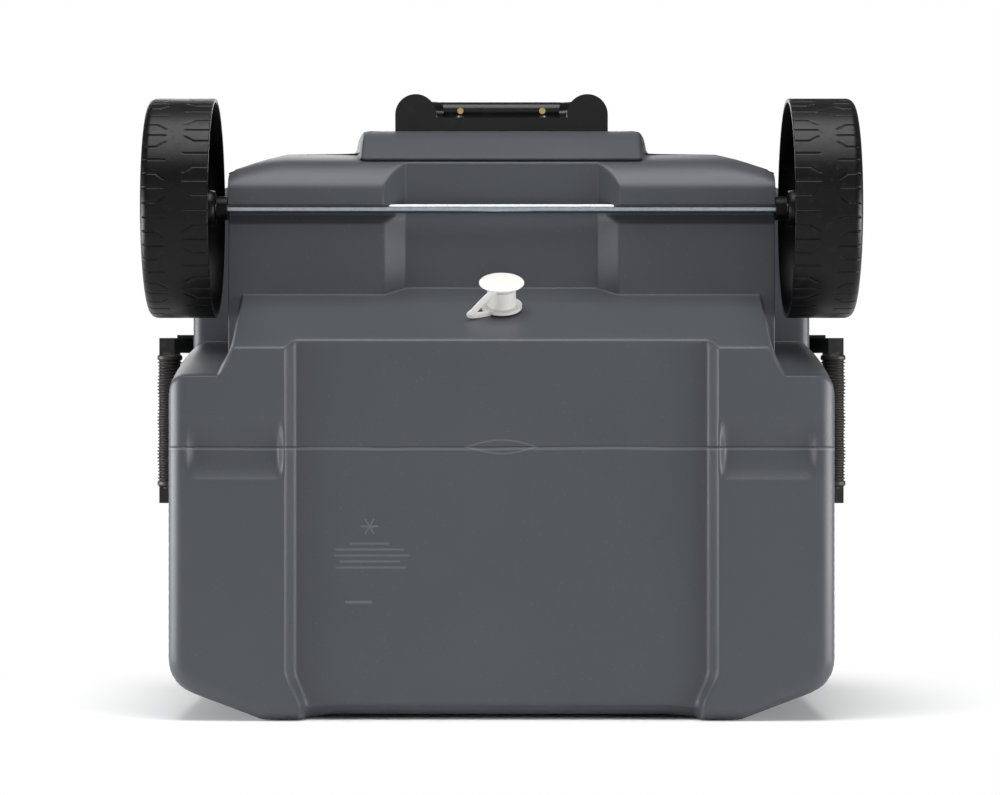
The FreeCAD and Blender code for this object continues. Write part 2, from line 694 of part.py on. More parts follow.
def bracket(name, low, high):
    """A clamp bar across the raised back with a lobe round each tube."""
    web = box(name + "_web", ("0 - tube_half_spacing", "tube_half_spacing"),
              (BULGE_Y, "%s + bracket_web" % BULGE_Y), (low, high))
    lobes = [cylinder("%s_%s_lobe" % (name, word), "z", "lobe_radius",
                      (signed(side, "tube_half_spacing"), TUBE_Y), low, high) for side, word in SIDES]
    reach = "tube_half_spacing + lobe_radius"
    cheeks = [box("%s_%s_cheek" % (name, word), ("tube_half_spacing - 1", reach) if side > 0 else ("0 - (%s)" % reach, "1 - tube_half_spacing"),
                  (BULGE_Y, TUBE_Y), (low, high)) for side, word in SIDES]
    bar = fuse(name + "_bar", web, *lobes, *cheeks)
    trim = box(name + "_trim", ("0 - body_width", "body_width"), (BULGE_Y, "%s + 80" % BULGE_Y), (low, high))
    return common(name + "_solid", bar, trim)


def bores(name, radius, low, high):
    return [cylinder("%s_%s" % (name, word), "z", radius, (signed(side, "tube_half_spacing"), TUBE_Y), low, high)
            for side, word in SIDES]


def tubes(name, outer, wall, low, high):
    pair = []
    for (side, word), bar, hole in zip(SIDES, bores(name + "_out", outer, low, high),
                                       bores(name + "_in", "(%s) - (%s)" % (outer, wall), low, high)):
        pair.append(cut("%s_%s" % (name, word), bar, hole))
    return group(name, *pair)


LOWER_TOP = "(lower_bracket_base + lower_bracket_height)"
TUBE_LOW = "(lower_bracket_base + bracket_floor)"
UPPER_LOW = "((body_height - bracket_below_top) - upper_bracket_height)"
R_MIDDLE = "(tube_radius - tube_wall - running_clearance)"
R_INNER = "(tube_radius - 2 * tube_wall - 2 * running_clearance)"
COLLAR_LOW = "((body_height - bracket_below_top) + stage_gap)"
COLLAR_TOP = "(%s + collar_height)" % COLLAR_LOW
SOCKET_LOW = "(%s + stage_gap)" % COLLAR_TOP
SOCKET_TOP = "(%s + socket_height)" % SOCKET_LOW

guide_tubes = tubes("guide_tubes", "tube_radius", "tube_wall", TUBE_LOW, "(body_height - bracket_below_top) - bracket_floor")
middle_tubes = tubes("middle_tubes", R_MIDDLE, "tube_wall", "%s + tube_rest_gap" % TUBE_LOW, COLLAR_LOW)
inner_tubes = tubes("inner_tubes", R_INNER, "tube_wall", "%s + 2 * tube_rest_gap" % TUBE_LOW, SOCKET_TOP)
middle_collars = tubes("middle_collars", "(tube_radius + socket_lip)", "(tube_radius + socket_lip) - %s - running_clearance" % R_INNER,
                       COLLAR_LOW, COLLAR_TOP)

screws = {}
screw_holes = []


def back_screw(name, x, z, seat, depth):
    """A screw driven forward into the back of the body, its head on a seat."""
    head = cylinder(name + "_head", "y", "screw_head_radius", (x, z), seat, "%s + screw_head" % seat)
    shank = cylinder(name + "_shank", "y", "screw_radius", (x, z), "%s - (%s)" % (seat, depth), seat)
    screw_holes.append(shank)
    screws[name] = shank
    return fuse(name, head, shank)


WEB_BACK = "(%s + bracket_web)" % BULGE_Y
bracket_screw_list = []
for row, height in (("lower", "lower_bracket_base + lower_bracket_height / 2"),
                    ("upper", "(body_height - bracket_below_top) - upper_bracket_height / 2")):
    for side, word in SIDES:
        bracket_screw_list.append(back_screw("%s_%s_bracket_screw" % (row, word),
                                             signed(side, "tube_half_spacing / 2"), height, WEB_BACK,
                                             "bracket_web + shell_wall"))
bracket_screws = group("bracket_screws", *bracket_screw_list)

lower_solid = bracket("lower_bracket", "lower_bracket_base", LOWER_TOP)
handle_lower_bracket = cut("handle_lower_bracket", lower_solid,
                           *bores("lower_bore", "tube_radius", TUBE_LOW, "%s + 1" % LOWER_TOP),
                           screws["lower_left_bracket_screw"], screws["lower_right_bracket_screw"])
upper_solid = bracket("upper_bracket", UPPER_LOW, "(body_height - bracket_below_top)")
handle_upper_bracket = cut("handle_upper_bracket", upper_solid,
                           *bores("upper_bore", "tube_radius", "%s - 1" % UPPER_LOW,
                                  "(body_height - bracket_below_top) - bracket_floor"),
                           *bores("upper_neck", "%s + running_clearance" % R_MIDDLE,
                                  "(body_height - bracket_below_top) - bracket_floor - 1", "(body_height - bracket_below_top) + 1"),
                           screws["upper_left_bracket_screw"], screws["upper_right_bracket_screw"])

GRIP_Y = "((body_depth + grip_behind_back) / 2 - yoke_radius)"
yoke_pieces = []
for side, word in SIDES:
    foot = [signed(side, "tube_half_spacing"), TUBE_Y, SOCKET_TOP]
    shoulder = [signed(side, "tube_half_spacing"), GRIP_Y, "(body_height - shoulder_below_top)"]
    knuckle = [signed(side, "tube_half_spacing - 2"), GRIP_Y, "(body_height + grip_above_top) - 12"]
    corner = [signed(side, "grip_half"), GRIP_Y, "(body_height + grip_above_top)"]
    yoke_pieces.append(cylinder(word + "_socket", "z", "(tube_radius + socket_lip)", foot[:2], SOCKET_LOW, SOCKET_TOP))
    yoke_pieces.append(ball(word + "_foot_bend", "yoke_radius", foot))
    yoke_pieces.append(rod(word + "_reach", "yoke_radius", foot, shoulder))
    yoke_pieces.append(ball(word + "_shoulder", "yoke_radius", shoulder))
    yoke_pieces.append(rod(word + "_upright", "yoke_radius", shoulder, knuckle))
    yoke_pieces.append(ball(word + "_knuckle", "yoke_radius", knuckle))
    yoke_pieces.append(rod(word + "_elbow", "yoke_radius", knuckle, corner))
    yoke_pieces.append(ball(word + "_corner", "yoke_radius", corner))
    low, high = span(side, "sleeve_half", "grip_half")
    yoke_pieces.append(cylinder(word + "_stub", "x", "yoke_radius", (GRIP_Y, "(body_height + grip_above_top)"), low, high))
yoke_pieces.append(cylinder("grip_core", "x", "grip_core_radius", (GRIP_Y, "(body_height + grip_above_top)"),
                            "0 - sleeve_half - 1", "sleeve_half + 1"))
yoke_raw = fuse("yoke_raw", *yoke_pieces)

BUTTON_TOP = "((body_height + grip_above_top) + yoke_radius + button_proud)"
BUTTON_LOW = "((body_height + grip_above_top) + 3)"
SLOT_LOW = "(%s - spring_space)" % BUTTON_LOW
slot = box("button_slot",
           ("0 - button_half_length - running_clearance", "button_half_length + running_clearance"),
           ("%s - button_half_width - running_clearance" % GRIP_Y, "%s + button_half_width + running_clearance" % GRIP_Y),
           (SLOT_LOW, "%s + 5" % BUTTON_TOP))
yoke_screw_list = []
yoke_screw_tools = []
for side, word in SIDES:
    spot = (signed(side, "yoke_screw_half"), GRIP_Y)
    under = "((body_height + grip_above_top) - yoke_radius + 1.2)"
    head = cylinder(word + "_yoke_head", "z", "screw_head_radius - 1.2", spot, under, "%s + screw_head" % under)
    shank = cylinder(word + "_yoke_shank", "z", "screw_radius - 0.5", spot, "%s + screw_head" % under,
                     "(body_height + grip_above_top) + 3")
    mouth = cylinder(word + "_yoke_mouth", "z", "screw_head_radius - 1.2", spot, "%s - 10" % under,
                     "%s + screw_head" % under)
    yoke_screw_list.append(fuse(word + "_yoke_screw", head, shank))
    yoke_screw_tools.extend([mouth, shank])
yoke_screws = group("yoke_screws", *yoke_screw_list)
handle_yoke = cut("handle_yoke", yoke_raw, inner_tubes, slot, *yoke_screw_tools)
sleeve_outer = cylinder("sleeve_outer", "x", "yoke_radius", (GRIP_Y, "(body_height + grip_above_top)"), "0 - sleeve_half", "sleeve_half")
sleeve_inner = cylinder("sleeve_inner", "x", "grip_core_radius", (GRIP_Y, "(body_height + grip_above_top)"),
                        "0 - sleeve_half - 1", "sleeve_half + 1")
grip_sleeve = cut("grip_sleeve", sleeve_outer, sleeve_inner, slot, *yoke_screw_tools)
release_button = box("release_button", ("0 - button_half_length", "button_half_length"),
                     ("%s - button_half_width" % GRIP_Y, "%s + button_half_width" % GRIP_Y),
                     (BUTTON_LOW, BUTTON_TOP))
helix = doc.addObject("Part::Helix", "spring_path")
bind(helix, "Radius", "spring_radius")
bind(helix, "Height", "spring_space - 2 * spring_wire - 0.2")
bind(helix, "Pitch", "(spring_space - 2 * spring_wire - 0.2) / 3")
for letter, text in zip("xyz", ("0", GRIP_Y, "%s + spring_wire + 0.1" % SLOT_LOW)):
    bind(helix, "Placement.Base." + letter, text)
wire = doc.addObject("Part::Circle", "spring_section")
bind(wire, "Radius", "spring_wire")
wire.Placement = FreeCAD.Placement(FreeCAD.Vector(), FreeCAD.Rotation(FreeCAD.Vector(1, 0, 0), 90))
for letter, text in zip("xyz", ("spring_radius", GRIP_Y, "%s + spring_wire + 0.1" % SLOT_LOW)):
    bind(wire, "Placement.Base." + letter, text)
release_spring = doc.addObject("Part::Sweep", "release_spring")
release_spring.Sections = [wire]
release_spring.Spine = (helix, ["Edge1"])
release_spring.Solid = True
release_spring.Frenet = True

# ------------------------------------------------------------------ side handles

HANDLE_Y = "(%s + handle_centre_from_front)" % FRONT
ARM_OUT = "(handle_half_length + handle_arm_spread)"
EAR_LOW = "(%s + knuckle_gap)" % ARM_OUT
EAR_HIGH = "(%s + ear_wall)" % EAR_LOW
handle_nodes = []
mount_screw_list = []
for side, word in SIDES:
    pivot_x = signed(side, "%s + handle_pivot_out" % HALF)
    turn = FreeCAD.Rotation(FreeCAD.Vector(0, 1, 0), -side * value("handle_hang_angle"))
    hang = FreeCAD.Placement(FreeCAD.Vector(value(pivot_x), value(HANDLE_Y), value("(body_height - pivot_below_top)")), turn)

    arms = []
    for end, tag in ((-1, "front"), (1, "back")):
        def along(text, end=end):
            return text if end > 0 else "0 - (%s)" % text
        outline = [
            (along(ARM_OUT), "0"),
            (along("handle_half_length"), "0 - handle_drop - handle_bar_tall / 2"),
            (along("handle_half_length - handle_arm_wall"), "0 - handle_drop - handle_bar_tall / 2"),
            (along("%s - handle_arm_wall" % ARM_OUT), "0"),
        ]
        arms.append(prism("%s_%s_arm" % (word, tag), "YZ", outline, "0 - handle_bar_half", "handle_bar_half"))
        low, high = ("%s - handle_arm_wall" % ARM_OUT, ARM_OUT) if end > 0 else (
            "0 - %s" % ARM_OUT, "0 - (%s - handle_arm_wall)" % ARM_OUT)
        arms.append(cylinder("%s_%s_boss" % (word, tag), "y", "handle_boss_radius", ("0", "0"), low, high))
    arms.append(box(word + "_bar", ("0 - handle_bar_half", "handle_bar_half"),
                    ("0 - handle_half_length + 1", "handle_half_length - 1"),
                    ("0 - handle_drop - handle_bar_tall / 2", "0 - handle_drop + handle_bar_tall / 2")))
    bail_raw = fuse(word + "_bail_raw", *arms)
    pins = []
    for end, tag in ((-1, "front"), (1, "back")):
        low, high = ("%s - handle_arm_wall" % ARM_OUT, EAR_HIGH) if end > 0 else (
            "0 - %s" % EAR_HIGH, "0 - (%s - handle_arm_wall)" % ARM_OUT)
        pins.append(cylinder("%s_%s_pin" % (word, tag), "y", "handle_pin_radius", ("0", "0"), low, high))
    bail = cut(word + "_handle_bail", bail_raw, *pins)
    pin_group = group(word + "_handle_pins", *pins)
    sleeve_body = doc.addObject("PartDesign::Body", word + "_grip_block")
    sleeve_plan = [
        ("handle_grip_half", "0 - handle_drop - handle_grip_tall / 2"),
        ("handle_grip_half", "0 - handle_drop + handle_grip_tall / 2"),
        ("0 - handle_grip_half", "0 - handle_drop + handle_grip_tall / 2"),
        ("0 - handle_grip_half", "0 - handle_drop - handle_grip_tall / 2"),
    ]
    sleeve_sketch = sketch(sleeve_body, word + "_grip_section", "XZ", sleeve_plan)
    sleeve_pad = pad(sleeve_body, sleeve_sketch, "handle_grip_length", both_ways=True)
    round_edges(sleeve_body, sleeve_pad, "handle_grip_half - 3",
                lambda edge: abs(edge.Vertexes[0].Y - edge.Vertexes[-1].Y) > 1)
    core = box(word + "_grip_hole", ("0 - handle_bar_half", "handle_bar_half"),
               ("0 - handle_half_length", "handle_half_length"),
               ("0 - handle_drop - handle_bar_tall / 2", "0 - handle_drop + handle_bar_tall / 2"))
    grip = cut(word + "_handle_grip", sleeve_body, core, arms[0], arms[2])
    for item in (bail, pin_group, grip):
        item.Placement = hang
    handle_nodes.extend([bail, pin_group, grip])

    low, high = span(side, HALF, "%s + mount_wall" % HALF)
    plate = box(word + "_mount_plate", (low, high),
                ("%s - %s" % (HANDLE_Y, EAR_HIGH), "%s + %s" % (HANDLE_Y, EAR_HIGH)),
                ("(body_height - pivot_below_top) - mount_tall / 2", "(body_height - pivot_below_top) + mount_tall / 2"))
    low, high = span(side, "%s + mount_wall - 0.5" % HALF, "%s + handle_pivot_out + 9" % HALF)
    ears = [
        box(word + "_front_ear", (low, high), ("%s - %s" % (HANDLE_Y, EAR_HIGH), "%s - %s" % (HANDLE_Y, EAR_LOW)),
            ("(body_height - pivot_below_top) - 12", "(body_height - pivot_below_top) + 12")),
        box(word + "_back_ear", (low, high), ("%s + %s" % (HANDLE_Y, EAR_LOW), "%s + %s" % (HANDLE_Y, EAR_HIGH)),
            ("(body_height - pivot_below_top) - 12", "(body_height - pivot_below_top) + 12")),
    ]
    pin_bore = cylinder(word + "_ear_bore", "y", "handle_pin_radius + running_clearance",
                        (pivot_x, "(body_height - pivot_below_top)"),
                        "%s - %s - 1" % (HANDLE_Y, EAR_HIGH), "%s + %s + 1" % (HANDLE_Y, EAR_HIGH))
    ears_bored = cut(word + "_ears", fuse(word + "_ear_pair", *ears), pin_bore)
    mount_raw = fuse(word + "_mount_raw", plate, ears_bored)
    shanks = []
    for end in (-1, 1):
        spot = ("%s + %d * 40" % (HANDLE_Y, end), "(body_height - pivot_below_top)")
        tag = "%s_%s_mount_screw" % (word, "front" if end < 0 else "back")
        low, high = span(side, "%s + mount_wall" % HALF, "%s + mount_wall + screw_head" % HALF)
        head = cylinder(tag + "_head", "x", "screw_head_radius", spot, low, high)
        low, high = span(side, "%s - shell_wall" % HALF, "%s + mount_wall" % HALF)
        shank = cylinder(tag + "_shank", "x", "screw_radius", spot, low, high)
        shanks.append(shank)
        screw_holes.append(shank)
        mount_screw_list.append(fuse(tag, head, shank))
    handle_nodes.append(cut(word + "_handle_mount", mount_raw, *shanks))
mount_screws = group("handle_mount_screws", *mount_screw_list)

# ------------------------------------------------------------------ lid

def lid_outline(inset):
    right = [
        ("%s - front_facet_run + lid_overhang - %s" % (HALF, inset), "%s + %s" % (FRONT, inset)),
        ("%s + lid_overhang - %s" % (HALF, inset), "%s + front_facet_drop + %s" % (FRONT, inset)),
        ("%s + lid_overhang - %s" % (HALF, inset), "%s - rear_facet_drop - %s" % (BACK, inset)),
        ("flat_back_half + lid_overhang - %s" % inset, "%s - %s" % (BACK, inset)),
    ]
    return mirror_points(right)


def lid_block(name, inset, low, high, radius, top_radius):
    body = doc.addObject("PartDesign::Body", name)
    block = pad(body, sketch(body, name + "_plan", "XY", lid_outline(inset), low), "(%s) - (%s)" % (high, low))
    limit = value("%s + lid_overhang - %s" % (HALF, inset)) - 1e-3
    block = round_edges(body, block, radius, lambda edge: upright(edge) and abs(edge.Vertexes[0].X) > limit)
    if top_radius:
        level = value(high)
        round_edges(body, block, top_radius, lambda edge: all(abs(v.Z - level) < 1e-6 for v in edge.Vertexes))
    return body


LID_LOW = "(%s + lid_gap)" % RIM
LID_TOP = "(%s + lid_height)" % LID_LOW
LID_LINER = "(%s + lid_liner_lift)" % LID_LOW
FOAM_LOW = "(%s + lid_liner_wall)" % LID_LINER
lid_outside = lid_block("lid_outside", "0", LID_LOW, LID_TOP, "corner_radius", "lid_radius")
lid_hollow = lid_block("lid_hollow", "lid_wall", "%s - 5" % LID_LOW, "%s - lid_wall" % LID_TOP,
                       "corner_radius - lid_wall", "lid_radius - lid_wall")
lid_shell_raw = cut("lid_shell_raw", lid_outside, lid_hollow)
lid_fill = lid_block("lid_fill", "lid_wall", FOAM_LOW, "%s - lid_wall" % LID_TOP,
                     "corner_radius - lid_wall", "lid_radius - lid_wall")
lid_floor = lid_block("lid_floor", "lid_wall", LID_LINER, FOAM_LOW, "corner_radius - lid_wall", "")


def plug_outline(gap):
    side = "(%s - side_gap - liner_wall - (%s))" % (HALF, gap)
    front = "%s + side_gap + liner_wall + (%s)" % (FRONT, gap)
    back = "%s - side_gap - liner_wall - (%s)" % (BACK, gap)
    return [(side, front), (side, back), ("0 - %s" % side, back), ("0 - %s" % side, front)]


def plug_block(name, gap, low, high, radius):
    body = doc.addObject("PartDesign::Body", name)
    block = pad(body, sketch(body, name + "_plan", "XY", plug_outline(gap), low), "(%s) - (%s)" % (high, low))
    round_edges(body, block, radius, upright)
    return body


lid_plug = plug_block("lid_plug", "plug_clearance", "%s - plug_depth" % LID_LINER, "%s + 1" % LID_LINER,
                      "liner_radius - liner_wall - plug_clearance")
lid_plug_room = plug_block("lid_plug_room", "plug_clearance + lid_liner_wall",
                           "%s - plug_depth + lid_liner_wall" % LID_LINER, FOAM_LOW,
                           "liner_radius - liner_wall - plug_clearance - lid_liner_wall")
lid_liner = cut("lid_liner", fuse("lid_liner_raw", lid_floor, lid_plug), lid_plug_room)
lid_foam = fuse("lid_foam", lid_fill, lid_plug_room)
gasket_out = plug_block("gasket_out", "0 - gasket_width - 2", "%s + gasket_gap" % RIM, LID_LINER,
                        "liner_radius + gasket_width")
gasket_in = plug_block("gasket_in", "0 - 2", "%s - 2" % RIM, "%s + 1" % LID_LINER, "liner_radius")
lid_gasket = cut("lid_gasket", gasket_out, gasket_in)

# ------------------------------------------------------------------ hinges

HINGE_Y = "(%s + hinge_axis_back)" % BACK
HINGE_Z = LID_LOW
body_leaves, lid_leaves, hinge_pin_list = [], [], []
body_screw_list, lid_screw_list, lid_holes = [], [], []
for side, word in SIDES:
    centre = signed(side, "flat_back_half - hinge_from_facet - hinge_half_width")
    west, east = "%s - hinge_half_width" % centre, "%s + hinge_half_width" % centre
    neck = ("%s - knuckle_half" % centre, "%s + knuckle_half" % centre)
    clear = ("%s - knuckle_half - knuckle_gap" % centre, "%s + knuckle_half + knuckle_gap" % centre)
    axis = (HINGE_Y, HINGE_Z)
    pin = cylinder(word + "_hinge_pin", "x", "hinge_pin_radius", axis, west, east)
    hinge_pin_list.append(pin)
    plate = box(word + "_body_plate", (west, east), (BACK, "%s + hinge_leaf" % BACK),
                ("%s - hinge_leaf_tall" % HINGE_Z, HINGE_Z))
    barrel = cylinder(word + "_body_barrel", "x", "knuckle_radius", axis, west, east)
    notch = box(word + "_body_notch", clear, ("%s - 1" % BACK, "%s + 20" % BACK),
                ("%s - knuckle_radius - 0.6" % HINGE_Z, "%s + 20" % HINGE_Z))
    raw = cut(word + "_body_leaf_raw", fuse(word + "_body_leaf_sum", plate, barrel), notch, pin)
    plate = box(word + "_lid_plate", (west, east), (BACK, "%s + hinge_leaf" % BACK),
                ("%s + knuckle_radius + 1.5" % HINGE_Z, "%s + hinge_leaf_tall" % HINGE_Z))
    stem = box(word + "_lid_stem", neck, ("%s + 0.3" % BACK, "%s + hinge_leaf" % BACK),
               (HINGE_Z, "%s + knuckle_radius + 2" % HINGE_Z))
    barrel = cylinder(word + "_lid_barrel", "x", "knuckle_radius", axis, *neck)
    bore = cylinder(word + "_lid_bore", "x", "hinge_pin_radius + running_clearance", axis, west, east)
    lid_raw = cut(word + "_lid_leaf_raw", fuse(word + "_lid_leaf_sum", plate, stem, barrel), bore)
    seat = "(%s + hinge_leaf)" % BACK
    body_shanks, lid_shanks = [], []
    for end in (-1, 1):
        x = "%s + %d * hinge_half_width * 0.6" % (centre, end)
        tag = "%s_%s" % (word, "inner" if end * side < 0 else "outer")
        z = "%s - hinge_leaf_tall * 0.62" % HINGE_Z
        body_screw_list.append(back_screw(tag + "_body_hinge_screw", x, z, seat, "hinge_leaf + shell_wall"))
        body_shanks.append(screws[tag + "_body_hinge_screw"])
        z = "%s + hinge_leaf_tall * 0.6" % HINGE_Z
        lid_screw_list.append(back_screw(tag + "_lid_hinge_screw", x, z, seat, "hinge_leaf + lid_wall"))
        lid_shanks.append(screws[tag + "_lid_hinge_screw"])
        lid_holes.append(screws[tag + "_lid_hinge_screw"])
        screw_holes.remove(screws[tag + "_lid_hinge_screw"])
    body_leaves.append(cut(word + "_body_leaf", raw, *body_shanks))
    lid_leaves.append(cut(word + "_lid_leaf", lid_raw, *lid_shanks))
hinge_body_leaves = group("hinge_body_leaves", *body_leaves)
hinge_lid_leaves = group("hinge_lid_leaves", *lid_leaves)
hinge_pins = group("hinge_pins", *hinge_pin_list)
hinge_body_screws = group("hinge_body_screws", *body_screw_list)
hinge_lid_screws = group("hinge_lid_screws", *lid_screw_list)
lid_shell = cut("lid_shell", lid_shell_raw, *lid_holes)

# ------------------------------------------------------------------ what the drain and screws pass through

outer_shell = cut("outer_shell", hull_outside, hull_inside, drain_hole, *valleys, *screw_holes)
foam_core = cut("foam_core", hull_inside, tub_outside, drain_hole)
inner_liner = cut("inner_liner", fuse("liner_block", tub_outside, flange_plate), tub_inside, drain_hole)

NODES = [
    outer_shell, foam_core, inner_liner,
    axle_rod, axle_push_nuts, axle_spacers, *wheels, *covers,
    drain_body, drain_gasket, drain_nut, cap_body, drain_tether,
    handle_lower_bracket, handle_upper_bracket, bracket_screws, guide_tubes,
    middle_tubes, middle_collars, inner_tubes, handle_yoke, grip_sleeve, yoke_screws,
    release_button, release_spring,
    *handle_nodes, mount_screws,
    lid_shell, lid_foam, lid_liner, lid_gasket,
    hinge_body_leaves, hinge_lid_leaves, hinge_pins, hinge_body_screws, hinge_lid_screws,
]

doc.recompute()
failed = [item.Name for item in doc.Objects if {"Invalid", "Error"} & set(item.State)]
if failed:
    raise RuntimeError("features that did not build: " + ", ".join(failed))
for node in NODES:
    if node.Shape.isNull() or not node.Shape.isValid():
        raise RuntimeError("no valid shape: " + node.Label)
os.makedirs("parts", exist_ok=True)
for node in NODES:
    node.Shape.exportStep(os.path.join("parts", node.Label + ".step"))
print(len(NODES), "nodes written")
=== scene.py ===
# %% [markdown]
# # A cooler on wheels, seen from underneath
# The cooler is a blow-moulded grey shell on two black wheels, with side handles, a telescoping pull
# handle and a white drain.
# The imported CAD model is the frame: every piece here is worked out in millimetres in its coordinates (X
# across, Y to the back, Z up) and turned to metres when its mesh is made.

# %% Load the frame
import math

import bmesh
import bpy
import numpy as np
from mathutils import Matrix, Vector


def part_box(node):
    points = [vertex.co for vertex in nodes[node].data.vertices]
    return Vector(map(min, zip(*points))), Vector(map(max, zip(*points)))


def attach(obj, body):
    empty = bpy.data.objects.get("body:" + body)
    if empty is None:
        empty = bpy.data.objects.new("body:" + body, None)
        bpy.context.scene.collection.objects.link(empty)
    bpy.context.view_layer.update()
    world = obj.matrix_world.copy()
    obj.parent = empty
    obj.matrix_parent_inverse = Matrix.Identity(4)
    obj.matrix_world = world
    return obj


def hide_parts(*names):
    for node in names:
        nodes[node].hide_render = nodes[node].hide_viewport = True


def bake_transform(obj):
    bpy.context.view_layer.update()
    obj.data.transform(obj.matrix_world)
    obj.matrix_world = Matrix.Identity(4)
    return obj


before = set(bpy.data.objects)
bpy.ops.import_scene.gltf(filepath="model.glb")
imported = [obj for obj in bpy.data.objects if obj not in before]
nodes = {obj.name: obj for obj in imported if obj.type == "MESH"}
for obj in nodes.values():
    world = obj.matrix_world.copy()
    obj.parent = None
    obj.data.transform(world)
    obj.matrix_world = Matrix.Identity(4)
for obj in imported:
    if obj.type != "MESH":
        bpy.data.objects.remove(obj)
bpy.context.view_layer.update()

# %% [markdown]
# ## Tools for surfaces
# A moulded part is a smooth skin. It could be sculpted or carved with modifiers, but a skin given by
# numbers follows drawing sizes exactly, so each one here is a grid of points with one formula for its
# place.

# %% Grid to mesh
def skin(name, points, body, wrap_u=False, wrap_v=False, caps=False, flip=False):
    """A mesh from an (n, m, 3) array of millimetre points: a four-sided face for each step along both
    directions, joined round where a direction wraps, and a fan over each end if caps are asked for."""
    n, m = points.shape[:2]
    number = np.arange(n * m).reshape(n, m)
    u = np.arange(n if wrap_u else n - 1)
    v = np.arange(m if wrap_v else m - 1)
    u, v = np.meshgrid(u, v, indexing="ij")
    nu, nv = (u + 1) % n, (v + 1) % m
    quads = np.stack([number[u, v], number[nu, v], number[nu, nv], number[u, nv]], -1).reshape(-1, 4)
    places = points.reshape(-1, 3)
    faces = quads.tolist()
    if caps:
        faces += [number[0].tolist(), number[-1, ::-1].tolist()]
    if flip:
        faces = [face[::-1] for face in faces]
    return solid_of(name, places, faces, body)


def solid_of(name, places, faces, body):
    """Puts points in millimetres and faces into a new object that rides on a body, if one is named."""
    mesh = bpy.data.meshes.new(name)
    mesh.from_pydata((np.asarray(places) * 0.001).tolist(), [], faces)
    mesh.validate()
    mesh.polygons.foreach_set("use_smooth", np.ones(len(mesh.polygons), bool))
    mesh.update()
    piece = bpy.data.objects.new(name, mesh)
    bpy.context.scene.collection.objects.link(piece)
    if body:
        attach(piece, body)
    print(name, len(mesh.vertices), "points", len(mesh.polygons), "faces")
    return piece


def ease(t):
    """0 below 0, 1 above 1 and a smooth S between: 3 t squared minus 2 t cubed."""
    t = np.clip(t, 0, 1)
    return t * t * (3 - 2 * t)


def lower(a, b, soft):
    """The lesser of two surfaces, with the corner between them rounded over a height of soft."""
    h = np.clip(0.5 + 0.5 * (b - a) / soft, 0, 1)
    return b + (a - b) * h - soft * h * (1 - h)


def higher(a, b, soft):
    """The greater of two surfaces with a rounded corner: minus the lesser of their negatives."""
    return -lower(-a, -b, soft)


def packed(low, high, count, marks, fine, coarse, reach):
    """Numbers from low to high that crowd near the marks: the step grows from fine at a mark to coarse at
    reach away, and the sum of one over the step is shared out evenly."""
    line = np.linspace(low, high, 20001)
    near = np.abs(line[:, None] - np.asarray(marks)[None, :]).min(1)
    step = fine + (coarse - fine) * ease(near / reach)
    total = np.concatenate([[0], np.cumsum(np.diff(line) / ((step[1:] + step[:-1]) / 2))])
    return np.interp(np.linspace(0, total[-1], count), total, line)

# %% [markdown]
# ## The outline of the shell
# Looking from below, the shell is a rectangle with its front corners cut back, its rear corners cut back
# more, and a raised block in the middle of the rear for the pull handle.
# A polygon with rounded corners gives it, and its half width can then be read off for any place from
# front to back.

# %% Outline
FRONT, FLAT_BACK, BULGE_BACK = -271.5, 200.2, 220.3
HALF = 272.0
RIM_TOP = 436.0
# Each corner of half the outline: distance from the middle, place from front to back, and rounding.
CORNERS = [
    (0, FRONT, 0), (195, FRONT, 12), (HALF, -242.5, 32), (HALF, 165.7, 26),
    (182, FLAT_BACK, 12), (126, FLAT_BACK, 3), (122.5, BULGE_BACK, 15), (0, BULGE_BACK, 0),
]


def rounded(corners, per=14):
    """The polygon with an arc-like curve at each corner: a quadratic curve between the points one tangent
    length away on both sides."""
    out = [np.array([corners[0][:2]], float)]
    for before, here, after in zip(corners, corners[1:], corners[2:]):
        a, c, b = (np.array(p[:2], float) for p in (before, here, after))
        u, w = (a - c) / np.linalg.norm(a - c), (b - c) / np.linalg.norm(b - c)
        half_turn = (np.pi - np.arccos(np.clip(u @ w, -1, 1))) / 2
        reach = min(here[2] * np.tan(half_turn), 0.48 * np.linalg.norm(a - c), 0.48 * np.linalg.norm(b - c))
        t = np.linspace(0, 1, per)[:, None]
        out.append((1 - t) ** 2 * (c + u * reach) + 2 * t * (1 - t) * c + t * t * (c + w * reach))
    out.append(np.array([corners[-1][:2]], float))
    return np.concatenate(out)


edge = rounded(CORNERS)
rise = np.maximum.accumulate(edge[:, 1] + np.arange(len(edge)) * 1e-6)


def half_width(y):
    """The outline's half width at a distance from front to back, read between its points."""
    inside = edge[:, 0] > 0.01
    return np.interp(y, rise[inside], edge[inside, 0])


length = np.concatenate([[0], np.cumsum(np.hypot(*np.diff(edge, axis=0).T))])
dense = np.stack([np.interp(np.linspace(0, length[-1], 1400), length, edge[:, k]) for k in (0, 1)], -1)


def to_edge(ax, y):
    """The distance from a point to the nearest point of the outline."""
    flat = np.stack([ax.ravel(), y.ravel()], -1)
    best = np.empty(len(flat))
    for start in range(0, len(flat), 8000):
        block = flat[start:start + 8000]
        best[start:start + 8000] = np.sqrt(((block[:, None] - dense[None]) ** 2).sum(-1).min(1))
    return best.reshape(ax.shape)


print("half width at the middle", half_width(0.0), "at the back", half_width(FLAT_BACK - 1))

# %% [markdown]
# ## The underside
# It is one moulded skin with feet, a sunken panel, a slanted wall for the drain, a channel for the pull
# handle, a ledge over the axle and two wheel wells.
# Seen from below, no part of it hides another, so it is a height over the outline: each feature is a
# simple slope, and the greater or lesser of two slopes makes the corner between them.

